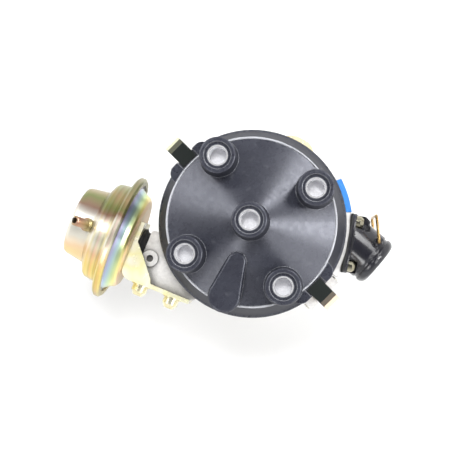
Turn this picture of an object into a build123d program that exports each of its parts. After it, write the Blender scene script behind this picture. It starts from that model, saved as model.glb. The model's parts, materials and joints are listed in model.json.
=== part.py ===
from build123d import *
import os
from math import cos, degrees, radians, sin

# Four-cylinder ignition distributor with a clip-on cap, vacuum advance and magnetic pickup.
# Origin: shaft axis at the underside of the mounting plate. +Z runs along the shaft towards
# the cap. Millimetres and degrees throughout; angles are counted from +X.

# ------------------------------------------------------------------ driving dimensions
# fits
RUNNING_GAP = 0.05        # radial clearance of turning and sliding fits
SEAT_GAP = 0.02           # radial clearance of moulded-in and pressed-in pieces
LOOSE_GAP = 0.3           # free space between parts that move past each other
EDGE_BREAK = 1.0          # chamfer on turned edges
ROOT = 1.0                # how deep a feature is rooted in the wall that carries it

# mounting plate and shank
SHANK_RADIUS = 13.5
SHANK_LENGTH = 32.0
PLATE_THICKNESS = 3.0
PLATE_RADIUS = 25.0
EAR_ANGLE = 62.0
EAR_PITCH = 43.5          # radius of the clamp slot's centre line
EAR_HALF_TRAVEL = 2.5     # degrees of timing adjustment each way
SLOT_WIDTH = 8.4
EAR_WIDTH = 15.5
O_RING_SECTION = 3.0
O_RING_DEPTH = 25.6       # seat to the middle of the O-ring groove
O_RING_STANDOUT = 0.2     # beyond the shank, as squeezed in the engine's bore
SPIGOT_STEP = 0.5         # spigot of the mounting plate, beyond the shank
PLATE_SCREW_RADIUS = 1.3
PLATE_SCREW_SINK = 1.7    # depth of the countersunk heads

# housing
COLLAR_RADIUS = 22.0
COLLAR_HEIGHT = 5.0
NECK_RADIUS = 17.5
NECK_HEIGHT = 6.0
FLOOR_THICKNESS = 3.0
BOWL_RADIUS = 41.5
BOWL_WALL = 4.0
BOWL_CORNER = 5.0
BOWL_DEPTH = 33.0
JOINT_LIP = 2.0           # joint flange beyond the bowl
JOINT_FLANGE_HEIGHT = 4.0
RIB_COUNT = 6
RIB_START = 15.0
RIB_THICKNESS = 3.0
COVER_LEDGE_DEPTH = 2.3   # below the joint
COVER_LEDGE_WIDTH = 1.1
SEAL_WIDTH = 2.0
SEAL_DEPTH = 1.2
SEAL_INSET = 0.6          # seal groove beyond the cover's bore

# cap
CAP_OVERHANG = 0.5        # cap's lip beyond the joint flange
CAP_LIP_HEIGHT = 3.0
CAP_WALL_HEIGHT = 18.5
CAP_DRAFT = 5.0           # how far the rim lies inside the lip
CAP_WALL = 3.0
CAP_BEAD_WIDTH = 0.9      # raised bead round the rim
CAP_BEAD_HEIGHT = 0.45
DOME_RISE = 9.5
TOWER_COUNT = 4
TOWER_ANGLE = 26.5
TOWER_PITCH = 32.3        # radius of the circle through the outer towers
TOWER_RADIUS = 8.1
TOWER_HEIGHT = 18.5       # above the rim
TOWER_TAPER = 2.6
TOWER_EDGE = 0.7          # rounding of the towers' mouths
CENTRE_TOWER_RADIUS = 7.75
CENTRE_TOWER_RISE = 11.0  # above the outer towers
MOUTH_RADIUS = 6.1
MOUTH_DEPTH = 1.5
TERMINAL_RADIUS = 4.6
TERMINAL_BORE = 3.9
TERMINAL_DEPTH = 12.0
TERMINAL_STEM = 2.6
TERMINAL_FLOOR = 1.0
STEM_WALL = 2.0           # cap moulding round the terminals' stems
VENT_ANGLE = 250.2
VENT_INNER_PITCH = 19.0
VENT_INNER_RADIUS = 4.4
VENT_OUTER_PITCH = 35.4
VENT_OUTER_RADIUS = 7.4
VENT_RISE = 8.8           # above the rim
VENT_EDGE = 1.2
ROTOR_RISE = 11.0         # rotor arm's top above the joint
ROTOR_THICKNESS = 4.0
ROTOR_TIP_RADIUS = 4.5
ROTOR_TAIL_RADIUS = 6.0
ROTOR_TAIL_REACH = 9.0
ROTOR_GAP = 0.8           # spark gap between electrode and terminals
ELECTRODE_THICKNESS = 1.2
ELECTRODE_WIDTH = 5.0
ELECTRODE_TAIL = 4.0      # how far it reaches past the shaft axis
ELECTRODE_TIP_WIDTH = 9.0
STRIP_THICKNESS = 0.5
STRIP_LENGTH = 17.0
STRIP_WIDTH = 4.0
STRIP_OFFSET = 4.0        # middle of the strip from the shaft axis
COVER_THICKNESS = 1.2

# cap clips
CLIP_ANGLES = (135.0, -45.0)
CLIP_WIDTH = 8.0
CLIP_THICKNESS = 0.9
CLIP_PIN_RADIUS = 1.5
CLIP_PIN_STANDOUT = 4.7   # hinge pin beyond the bowl
CLIP_PIN_LEVEL = 27.0
CLIP_BOW_STANDOUT = 11.5  # widest place of the sprung strip, beyond the bowl
CLIP_LUG_THICKNESS = 5.0
CLIP_LUG_WALL = 1.2
EAR_BLOCK_WIDTH = 7.0
EAR_BLOCK_INSET = 0.8     # ear's outer face inside the cap's lip
EAR_BLOCK_ROUND = 4.5

# drive
SHAFT_RADIUS = 6.0
SPINDLE_RADIUS = 4.5
BUSH_WALL = 3.0
BUSH_LENGTH = 16.0
WASHER_THICKNESS = 1.0
GEAR_TEETH = 13
GEAR_RADIUS = 12.6
GEAR_TOOTH_DEPTH = 2.6
GEAR_WIDTH = 14.0
GEAR_TWIST = 28.0
GEAR_HUB_RADIUS = 9.0
GEAR_HUB_LENGTH = 6.0
GEAR_PIN_RADIUS = 1.5
SLEEVE_SCREW_RADIUS = 1.65
SLEEVE_SCREW_LENGTH = 8.0
SLEEVE_WASHER_THICKNESS = 0.8

# governor
GOVERNOR_PLATE_RADIUS = 26.0
GOVERNOR_PLATE_THICKNESS = 2.0
GOVERNOR_HUB_RADIUS = 9.0
WEIGHT_PITCH = 17.75
WEIGHT_WIDTH = 13.5
WEIGHT_THICKNESS = 4.5
WEIGHT_SPAN = 118.0
WEIGHT_PIVOT = 20.5
WEIGHT_PIN_RADIUS = 2.0
DRIVE_STUD_PITCH = 15.0
DRIVE_STUD_RADIUS = 1.5
DRIVE_SLOT_GAP = 0.2
CAM_PLATE_THICKNESS = 1.8
CAM_ARM_WIDTH = 9.0
CAM_ARM_REACH = 25.0
SLEEVE_RADIUS = 7.5
SPRING_POST_ANGLE = 155.0
SPRING_POST_PITCH = 21.5
SPRING_POST_RADIUS = 0.9
GOVERNOR_SPRING_RADIUS = 1.0
GOVERNOR_WIRE = 0.5
CENTRIFUGAL_TRAVEL = 10.8  # degrees that the sleeve gains on the shaft

# pickup
BASE_PLATE_THICKNESS = 1.5
BASE_COLLAR_RADIUS = 16.0
BASE_COLLAR_BORE = 12.0
BASE_BOSS_RADIUS = 3.3
BASE_BOSS_ANGLES = (20.0, 130.0, 300.0)
BASE_BOSS_MERGE = 0.8     # overlap of the bosses with the bowl's wall
BASE_SCREW_RADIUS = 1.4
BASE_SCREW_LENGTH = 6.0
SNAP_RING_WIDTH = 1.6
SNAP_RING_THICKNESS = 0.9
BREAKER_PLATE_RADIUS = 33.0
BREAKER_PLATE_THICKNESS = 1.6
PICKUP_ANGLE = 60.0
RELUCTOR_RADIUS = 14.0
RELUCTOR_HUB = 10.5
RELUCTOR_HEIGHT = 6.0
ROLL_PIN_RADIUS = 1.0
AIR_GAP = 0.5
POLE_RADIUS = 2.0
COIL_RADIUS = 3.7
COIL_LENGTH = 9.5
COIL_CHEEK = 1.0
MAGNET_THICKNESS = 0.9
COIL_WINDING_INSET = 0.7
POLE_FOOT_WIDTH = 16.0
POLE_BRACKET = 1.6        # thickness of the upright behind the magnet
PICKUP_INSET = 9.0        # pickup's screws inside the breaker plate's edge
PICKUP_SCREW_SPACING = 12.4
PICKUP_SCREW_RADIUS = 1.0

# vacuum advance
VAC_HEADING = 157.7       # direction in which the canister points
VAC_LEVEL = 35.5
LINK_OFFSET = 29.85       # link rod's line, measured square from the shaft axis
LINK_TRAVEL = 5.0
LINK_PIN_RADIUS = 1.5
LINK_PIN_GAP = 0.25
LINK_ROD_RADIUS = 1.5
LINK_END_WIDTH = 7.0
LINK_END_THICKNESS = 2.0
LINK_END_LENGTH = 20.0
CAN_REACH = 57.3          # shaft axis to the crimped rim, along the link rod
CAN_RIM_RADIUS = 30.7
CAN_RIM_HALF = 1.8
CAN_STEP_RADIUS = 24.0
CAN_STEP_HEIGHT = 10.0
CAN_CUP_RADIUS = 17.6
CAN_CUP_HEIGHT = 23.1
CAN_DISH_DEPTH = 7.9
CAN_DISH_RADIUS = 14.0
SHEET = 0.9               # thickness of the canister's pressed shells
DIAPHRAGM_THICKNESS = 0.6
DIAPHRAGM_SPRING_RADIUS = 9.5
DIAPHRAGM_SPRING_WIRE = 1.2
DIAPHRAGM_SPRING_TURNS = 4
NIPPLE_RADIUS = 2.35
NIPPLE_BORE = 1.4
NIPPLE_FOOT_RADIUS = 3.2
NIPPLE_LENGTH = 13.0
NIPPLE_LEAN = 24.0
NIPPLE_REACH = 17.0       # rim to the nipple's foot, along the canister
BRACKET_SHEET = 2.0
BRACKET_HEIGHT = 22.0
BRACKET_SCREW_INSETS = (20.4, 4.2)  # from the arm's end
BRACKET_SCREW_HEAD = 3.8
BRACKET_SCREW_HEIGHT = 5.0
BRACKET_WASHER = 4.8
ARM_STANDOUT = 3.2        # arm's screw face beyond the bowl
BOOT_GAP = 4.0            # arm's end to the bracket's leg, bridged by the boot
BOOT_RADIUS = 8.7
BOOT_PLUG = 2.5           # how far the boot reaches into the arm
ARM_WIDTH = 24.2
ARM_HEIGHT = 14.0
BOSS_RING_INSET = 4.1     # from the arm's end
BOSS_RING_SIDE = 33.6
BOSS_RING_RADIUS = 3.9
BOSS_RING_HOLE = 1.65
BOSS_RING_RISE = 1.5
ARM_TAIL = 13.0           # where the screw face begins, along the vacuum unit
ARM_ROUND = 1.5
BRACKET_SCREW_RADIUS = 1.75
BRACKET_SCREW_DEPTH = 7.0

# harness connector
PAD_STANDOUT = 5.8        # pad beyond the bowl
PAD_START = -32.0
PAD_SWEEP = 62.0
PAD_MARGIN = 2.0          # pad below the connector's flange
PAD_EDGE = 2.0
PAD_CREST_DROP = 3.5      # where the crest begins, below the flange's top
PAD_CREST_RISE = 1.8      # where the crest ends, above the joint flange's underside
PAD_CREST_LAND = 0.6
CONNECTOR_ANGLE = -11.0
CONNECTOR_STANDOUT = 4.0  # flat that carries the connector, beyond the bowl
CONNECTOR_WIDTH = 28.6
CONNECTOR_HEIGHT = 22.0
CONNECTOR_FLANGE = 1.6
CONNECTOR_CORNER = 4.0
CONNECTOR_SCREW_SPACING = (20.8, 15.0)
CONNECTOR_SCREW_RADIUS = 1.5
CONNECTOR_SCREW_DEPTH = 5.0
GASKET_THICKNESS = 0.8
CONNECTOR_LEVEL = 33.0
SOCKET_HEADING = -40.0
SOCKET_RADIUS = 8.2
SOCKET_DEPTH = 7.5
ELBOW_REACH = 4.0         # from the flat to where the two ways of the elbow meet
ELBOW_BLOCK_DEPTH = 7.0
ELBOW_BLOCK_ROUND = 2.5
ELBOW_CHEEK_WIDTH = 9.0   # higher part of the block, over the inner screws
ELBOW_CHEEK_HEIGHT = 20.4
BARREL_RADIUS = 12.0
BARREL_ROUND = 3.0
GROOVE_PLACE = 10.2       # middle of the groove round the barrel
GROOVE_WIDTH = 1.0
GROOVE_DEPTH = 0.6
SHROUD_REACH = 15.0
CONNECTOR_PIN_COUNT = 3
CONNECTOR_PIN_PITCH = 4.6
CONNECTOR_PIN_RADIUS = 0.9
CONNECTOR_PIN_STANDOUT = 4.5
CONNECTOR_PIN_ROOT = 1.5
CONNECTOR_HEAD_RADIUS = 3.0
CONNECTOR_HEAD_HEIGHT = 3.6
SCREW_POCKET_DEPTH = 4.2
CABLE_HOLE_RADIUS = 6.0
BAIL_WIRE = 0.7           # radius of the wire
BAIL_BEND = 1.6
BAIL_ENGAGEMENT = 4.0     # how far the wire's ends reach into the lugs
BAIL_PIVOT = (7.8, 7.6)   # along the barrel, and square from its axis
BAIL_BAR = (-1.2, 16.4)
BAIL_LUG_RADIUS = 2.2
LABEL_START = 7.1
LABEL_SWEEP = 20.2
LABEL_MARGIN = 0.5
LABEL_THICKNESS = 0.3

# ------------------------------------------------------------------ levels along the shaft
plate_top = PLATE_THICKNESS
collar_top = plate_top + COLLAR_HEIGHT
bowl_underside = collar_top + NECK_HEIGHT
bowl_floor = bowl_underside + FLOOR_THICKNESS
joint_level = bowl_floor + BOWL_DEPTH
rim_level = joint_level + CAP_WALL_HEIGHT
apex_level = rim_level + DOME_RISE
tower_top = rim_level + TOWER_HEIGHT
centre_top = tower_top + CENTRE_TOWER_RISE
hub_underside = bowl_floor + WASHER_THICKNESS
governor_underside = hub_underside + 1.5
governor_top = governor_underside + GOVERNOR_PLATE_THICKNESS
weight_underside = governor_top + LOOSE_GAP / 2
weight_top = weight_underside + WEIGHT_THICKNESS
cam_plate_underside = weight_top + LOOSE_GAP
cam_plate_top = cam_plate_underside + CAM_PLATE_THICKNESS
spring_level = cam_plate_top + GOVERNOR_SPRING_RADIUS + GOVERNOR_WIRE
link_top = VAC_LEVEL + LINK_END_THICKNESS / 2
link_underside = VAC_LEVEL - LINK_END_THICKNESS / 2
base_plate_top = link_underside - 1.0
base_plate_underside = base_plate_top - BASE_PLATE_THICKNESS
breaker_underside = link_top + 1.0
breaker_top = breaker_underside + BREAKER_PLATE_THICKNESS
cover_ledge = joint_level - COVER_LEDGE_DEPTH
reluctor_top = cover_ledge - 0.8
reluctor_underside = reluctor_top - RELUCTOR_HEIGHT
spindle_top = reluctor_top + 0.5
gear_top = -SHANK_LENGTH - WASHER_THICKNESS - RUNNING_GAP
gear_underside = gear_top - GEAR_WIDTH
gear_hub_end = gear_underside - GEAR_HUB_LENGTH

bowl_bore = BOWL_RADIUS - BOWL_WALL
cover_bore = bowl_bore + COVER_LEDGE_WIDTH
joint_flange_radius = BOWL_RADIUS + JOINT_LIP
cap_radius = joint_flange_radius + CAP_OVERHANG
cap_rim_radius = cap_radius - CAP_DRAFT
ear_reach = cap_radius - EAR_BLOCK_INSET
clip_pin_pitch = BOWL_RADIUS + CLIP_PIN_STANDOUT
clip_bow = BOWL_RADIUS + CLIP_BOW_STANDOUT
clip_tip = cap_rim_radius + 0.7
pad_radius = BOWL_RADIUS + PAD_STANDOUT
connector_face = BOWL_RADIUS + CONNECTOR_STANDOUT
arm_face = BOWL_RADIUS + ARM_STANDOUT
arm_reach = CAN_REACH - CAN_DISH_DEPTH - BRACKET_SHEET - BOOT_GAP
boss_ring = (arm_reach - BOSS_RING_INSET, BOSS_RING_SIDE)
bracket_screw_reaches = [arm_reach - inset for inset in BRACKET_SCREW_INSETS]
terminal_face = TOWER_PITCH - TERMINAL_STEM


# ------------------------------------------------------------------ places and helpers
def heading(angle):
    """Unit vector in the XY plane at an angle from +X."""
    return Vector(cos(radians(angle)), sin(radians(angle)), 0)


def side_plane(angle):
    """Upright plane through the shaft axis: x runs outwards at the angle, y runs up."""
    out = heading(angle)
    return Plane(origin=(0, 0, 0), x_dir=out, z_dir=(out.Y, -out.X, 0))


def level_plane(angle, level):
    """Level plane whose x axis points outwards at the angle."""
    return Plane(origin=(0, 0, level), x_dir=heading(angle), z_dir=(0, 0, 1))


def facing(point, direction, up=(0, 0, 1)):
    """Plane at a point that faces a direction, with its y axis as near up as it can be."""
    normal = Vector(direction)
    return Plane(origin=point, x_dir=Vector(up).cross(normal), z_dir=normal)


def vac_plane(level):
    """Level plane of the vacuum unit: x runs out along the rod, y runs away from the shaft."""
    return level_plane(VAC_HEADING, level)


def write(piece, name):
    """Labels a finished piece and writes its STEP file."""
    piece.part.label = name
    export_step(piece.part, f"parts/{name}.step")


def turned(outline, plane=Plane.XZ, axis=Axis.Z, arc=360):
    """Solid of revolution from a closed outline of (radius, height) points."""
    with BuildPart() as body:
        with BuildSketch(plane):
            with BuildLine():
                Polyline(*outline, close=True)
            make_face()
        revolve(axis=axis, revolution_arc=arc)
    return body


def ring(inner, outer, bottom, top):
    """Flat ring, tube or washer about the shaft axis."""
    with BuildPart() as body:
        with BuildSketch(Plane.XY.offset(bottom)):
            Circle(outer)
            Circle(inner, mode=Mode.SUBTRACT)
        extrude(amount=top - bottom)
    return body


def screws(planes, shank, length, head, head_height, slot=0.0):
    """Identical screws: each plane lies under a head and faces away from the work."""
    skirt = head_height * 0.6
    with BuildPart() as body:
        with BuildSketch(*planes):
            Circle(shank)
        extrude(amount=-length)
        with BuildSketch(*planes):
            Circle(head)
        extrude(amount=skirt)
        with BuildSketch(*[plane.offset(skirt) for plane in planes]):
            Circle(head)
        extrude(amount=head_height - skirt, taper=35)
        if slot:
            with BuildSketch(*[plane.offset(head_height) for plane in planes]):
                Rectangle(2 * head, slot)
            extrude(amount=-head_height * 0.4, mode=Mode.SUBTRACT)
    return body


def coil(start, direction, length, radius, wire, turns):
    """Coil spring from one point along a direction."""
    path = Helix(pitch=length / turns, height=length, radius=radius, center=start,
                 direction=direction, mode=Mode.PRIVATE)
    with BuildPart() as body:
        with BuildSketch(Plane(origin=path @ 0, z_dir=path % 0)):
            Circle(wire / 2)
        sweep(path=path, is_frenet=True)
    return body


vac_out = heading(VAC_HEADING)
vac_side = heading(VAC_HEADING + 90)
can_centre = vac_out * CAN_REACH + vac_side * LINK_OFFSET + Vector(0, 0, VAC_LEVEL)
can_plane = Plane(origin=can_centre, x_dir=(0, 0, 1), z_dir=vac_side)
can_axis = Axis(can_centre, vac_out)


os.makedirs("parts", exist_ok=True)

# ------------------------------------------------------------------ housing
flange_underside = joint_level - JOINT_FLANGE_HEIGHT
pad_foot = CONNECTOR_LEVEL - CONNECTOR_HEIGHT / 2 - PAD_MARGIN
pad_shoulder = CONNECTOR_LEVEL + CONNECTOR_HEIGHT / 2 - PAD_CREST_DROP
pad_crest = flange_underside + PAD_CREST_RISE
pad_crest_radius = joint_flange_radius + PAD_CREST_LAND
bush_radius = SHAFT_RADIUS + BUSH_WALL
lug_middle = CLIP_WIDTH / 2 + LOOSE_GAP + CLIP_LUG_THICKNESS / 2
lug_radius = CLIP_PIN_RADIUS + CLIP_LUG_WALL
rod_bore = LINK_ROD_RADIUS + 2.8
base_boss_pitch = bowl_bore - BASE_BOSS_RADIUS + BASE_BOSS_MERGE
spigot_radius = SHANK_RADIUS + SPIGOT_STEP
plate_screw_pitch = (spigot_radius + COLLAR_RADIUS) / 2
seal_inner = cover_bore + SEAL_INSET
seal_outer = seal_inner + SEAL_WIDTH
arm_top = VAC_LEVEL + ARM_HEIGHT / 2
groove_depth = O_RING_SECTION + SEAT_GAP - O_RING_STANDOUT
connector_out = heading(CONNECTOR_ANGLE)

with BuildPart() as housing:
    # shank, spigot, collar, neck, bowl and joint flange turned in one
    with BuildSketch(Plane.XZ):
        with BuildLine():
            Polyline(
                (0, -SHANK_LENGTH),
                (SHANK_RADIUS - EDGE_BREAK, -SHANK_LENGTH),
                (SHANK_RADIUS, -SHANK_LENGTH + EDGE_BREAK),
                (SHANK_RADIUS, 0),
                (spigot_radius, 0),
                (spigot_radius, plate_top),
                (COLLAR_RADIUS, plate_top),
                (COLLAR_RADIUS, collar_top - EDGE_BREAK),
                (COLLAR_RADIUS - EDGE_BREAK, collar_top),
                (NECK_RADIUS, collar_top),
                (NECK_RADIUS, bowl_underside),
                (BOWL_RADIUS - BOWL_CORNER, bowl_underside),
                (BOWL_RADIUS - 0.3 * BOWL_CORNER, bowl_underside + 0.3 * BOWL_CORNER),
                (BOWL_RADIUS, bowl_underside + BOWL_CORNER),
                (BOWL_RADIUS, flange_underside - JOINT_LIP),
                (joint_flange_radius, flange_underside),
                (joint_flange_radius, joint_level),
                (0, joint_level),
                close=True,
            )
        make_face()
    revolve(axis=Axis.Z)
    # stiffening ribs between the collar and the underside of the bowl
    for index in range(RIB_COUNT):
        with BuildSketch(side_plane(index * 360 / RIB_COUNT + RIB_START)):
            with BuildLine():
                Polyline(
                    (NECK_RADIUS - ROOT, collar_top - ROOT),
                    (COLLAR_RADIUS - EDGE_BREAK, collar_top - ROOT),
                    (BOWL_RADIUS - BOWL_CORNER - ROOT, bowl_underside),
                    (BOWL_RADIUS - BOWL_CORNER - ROOT, bowl_underside + ROOT),
                    (NECK_RADIUS - ROOT, bowl_underside + ROOT),
                    close=True,
                )
            make_face()
        extrude(amount=RIB_THICKNESS / 2, both=True)
    # cast arm that carries the vacuum unit
    with BuildSketch(vac_plane(VAC_LEVEL - ARM_HEIGHT / 2)) as arm_outline:
        with BuildLine():
            Polyline(
                (arm_reach, arm_face - ARM_WIDTH),
                (arm_reach, arm_face),
                (ARM_TAIL, arm_face),
                (ARM_TAIL - 5, BOWL_RADIUS - BOWL_WALL),
                (bracket_screw_reaches[0], arm_face - ARM_WIDTH),
                close=True,
            )
        make_face()
        fillet(arm_outline.vertices().sort_by(Axis.X)[-2:], ARM_ROUND)
    extrude(amount=ARM_HEIGHT)
    # raised ring on the arm
    with BuildSketch(vac_plane(VAC_LEVEL)):
        with Locations(boss_ring):
            Circle(BOSS_RING_RADIUS)
    extrude(amount=ARM_HEIGHT / 2 + BOSS_RING_RISE)
    # pad for the harness connector, with a sloped crest
    pad_start = side_plane(PAD_START)
    with BuildSketch(pad_start):
        with BuildLine():
            Polyline(
                (BOWL_RADIUS - ROOT, pad_foot),
                (pad_radius - PAD_EDGE, pad_foot),
                (pad_radius, pad_foot + PAD_EDGE),
                (pad_radius, pad_shoulder),
                (pad_crest_radius, pad_crest),
                (BOWL_RADIUS - ROOT, pad_crest),
                close=True,
            )
        make_face()
    revolve(axis=Axis.Z, revolution_arc=PAD_SWEEP)
    # hinge lugs of the two cap clips
    for angle in CLIP_ANGLES:
        for side in (-1, 1):
            with BuildSketch(side_plane(angle).offset(side * lug_middle)):
                with Locations((clip_pin_pitch, CLIP_PIN_LEVEL)):
                    Circle(lug_radius)
                with BuildLine():
                    Polyline(
                        (clip_pin_pitch, CLIP_PIN_LEVEL + lug_radius),
                        (BOWL_RADIUS - ROOT, CLIP_PIN_LEVEL + 2 * lug_radius),
                        (BOWL_RADIUS - ROOT, CLIP_PIN_LEVEL - 2 * lug_radius),
                        (clip_pin_pitch, CLIP_PIN_LEVEL - lug_radius),
                        close=True,
                    )
                make_face()
            extrude(amount=CLIP_LUG_THICKNESS / 2, both=True)
        with BuildSketch(side_plane(angle)):
            with Locations((clip_pin_pitch, CLIP_PIN_LEVEL)):
                Circle(CLIP_PIN_RADIUS + SEAT_GAP)
        extrude(amount=lug_middle + CLIP_LUG_THICKNESS, both=True, mode=Mode.SUBTRACT)
    # inside of the bowl, cover ledge and seal groove
    with BuildSketch(Plane.XZ):
        with BuildLine():
            Polyline(
                (0, bowl_floor),
                (bowl_bore, bowl_floor),
                (bowl_bore, cover_ledge),
                (cover_bore, cover_ledge),
                (cover_bore, joint_level + ROOT),
                (0, joint_level + ROOT),
                close=True,
            )
        make_face()
    revolve(axis=Axis.Z, mode=Mode.SUBTRACT)
    with BuildSketch(Plane.XY.offset(joint_level)):
        Circle(seal_outer)
        Circle(seal_inner, mode=Mode.SUBTRACT)
    extrude(amount=-SEAL_DEPTH, mode=Mode.SUBTRACT)
    # bosses for the pickup's base plate
    with BuildSketch(Plane.XY.offset(bowl_floor - ROOT)):
        for angle in BASE_BOSS_ANGLES:
            with Locations(heading(angle) * base_boss_pitch):
                Circle(BASE_BOSS_RADIUS)
    extrude(amount=base_plate_underside - bowl_floor + ROOT)
    with BuildSketch(Plane.XY.offset(base_plate_underside)):
        for angle in BASE_BOSS_ANGLES:
            with Locations(heading(angle) * base_boss_pitch):
                Circle(BASE_SCREW_RADIUS + SEAT_GAP)
    extrude(amount=-BASE_SCREW_LENGTH, mode=Mode.SUBTRACT)
    # shaft tunnel with a seat for each bush
    with BuildSketch(Plane.XY.offset(-SHANK_LENGTH)):
        Circle(SHAFT_RADIUS + 3 * LOOSE_GAP)
    extrude(amount=SHANK_LENGTH + bowl_floor, mode=Mode.SUBTRACT)
    with BuildSketch(Plane.XY.offset(-SHANK_LENGTH), Plane.XY.offset(bowl_floor - BUSH_LENGTH)):
        Circle(bush_radius + SEAT_GAP)
    extrude(amount=BUSH_LENGTH, mode=Mode.SUBTRACT)
    # O-ring groove
    with BuildSketch(Plane.XY.offset(-O_RING_DEPTH)):
        Circle(SHANK_RADIUS + ROOT)
        Circle(SHANK_RADIUS - groove_depth, mode=Mode.SUBTRACT)
    extrude(amount=O_RING_SECTION / 2 + LOOSE_GAP / 2, both=True, mode=Mode.SUBTRACT)
    # way through the arm and wall for the link rod
    with BuildSketch(facing(can_centre, vac_out)):
        Circle(rod_bore)
    extrude(amount=-CAN_REACH, mode=Mode.SUBTRACT)
    # tapped holes in the arm's screw face
    with BuildSketch(facing(vac_side * arm_face + Vector(0, 0, VAC_LEVEL), vac_side)):
        with Locations(*[(-reach, 0) for reach in bracket_screw_reaches]):
            Circle(BRACKET_SCREW_RADIUS + SEAT_GAP)
    extrude(amount=-BRACKET_SCREW_DEPTH, mode=Mode.SUBTRACT)
    # blind hole in the raised ring
    with BuildSketch(vac_plane(arm_top + BOSS_RING_RISE)):
        with Locations(boss_ring):
            Circle(BOSS_RING_HOLE)
    extrude(amount=-2 * BOSS_RING_HOLE, mode=Mode.SUBTRACT)
    # flat, wire hole and tapped holes for the connector
    flat = facing(connector_out * connector_face + Vector(0, 0, CONNECTOR_LEVEL), connector_out)
    with BuildSketch(flat):
        Rectangle(CONNECTOR_WIDTH + 2 * LOOSE_GAP, CONNECTOR_HEIGHT + 4 * PAD_MARGIN)
    extrude(amount=PAD_STANDOUT, mode=Mode.SUBTRACT)
    with BuildSketch(flat):
        Circle(CABLE_HOLE_RADIUS)
    extrude(amount=-(connector_face - bowl_bore + ROOT), mode=Mode.SUBTRACT)
    with BuildSketch(flat):
        with GridLocations(*CONNECTOR_SCREW_SPACING, 2, 2):
            Circle(CONNECTOR_SCREW_RADIUS)
    extrude(amount=-CONNECTOR_SCREW_DEPTH, mode=Mode.SUBTRACT)
    # tapped holes for the mounting plate's screws
    with BuildSketch(Plane.XY.offset(plate_top)):
        with PolarLocations(plate_screw_pitch, 2, start_angle=EAR_ANGLE + 90):
            Circle(PLATE_SCREW_RADIUS + SEAT_GAP)
    extrude(amount=COLLAR_HEIGHT - EDGE_BREAK, mode=Mode.SUBTRACT)

# ------------------------------------------------------------------ cap
cap_inner = cap_rim_radius - CAP_WALL / 2 - CAP_BEAD_WIDTH
lip_top = joint_level + CAP_LIP_HEIGHT
seat_level = rim_level - 1.2
ear_middle = CLIP_WIDTH / 2 + LOOSE_GAP + 0.4 + EAR_BLOCK_WIDTH / 2
ear_foot = lip_top + 2
ear_depth = 12.0
seat_reach = ear_reach - 0.4
terminal_rim = tower_top - MOUTH_DEPTH
centre_rim = centre_top - MOUTH_DEPTH
stem_wall_radius = TERMINAL_STEM + STEM_WALL
stem_end = joint_level + 8.5
brush_radius = TERMINAL_STEM - RUNNING_GAP
centre_stem_end = apex_level + 1
brush_guide_end = rim_level - 2.5
dome_slope = DOME_RISE / (cap_rim_radius - CENTRE_TOWER_RADIUS)
bead_top = rim_level + CAP_BEAD_WIDTH * dome_slope + CAP_BEAD_HEIGHT
socket_angles = [TOWER_ANGLE + index * 360 / TOWER_COUNT for index in range(TOWER_COUNT)]
vent_out = heading(VENT_ANGLE)

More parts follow.
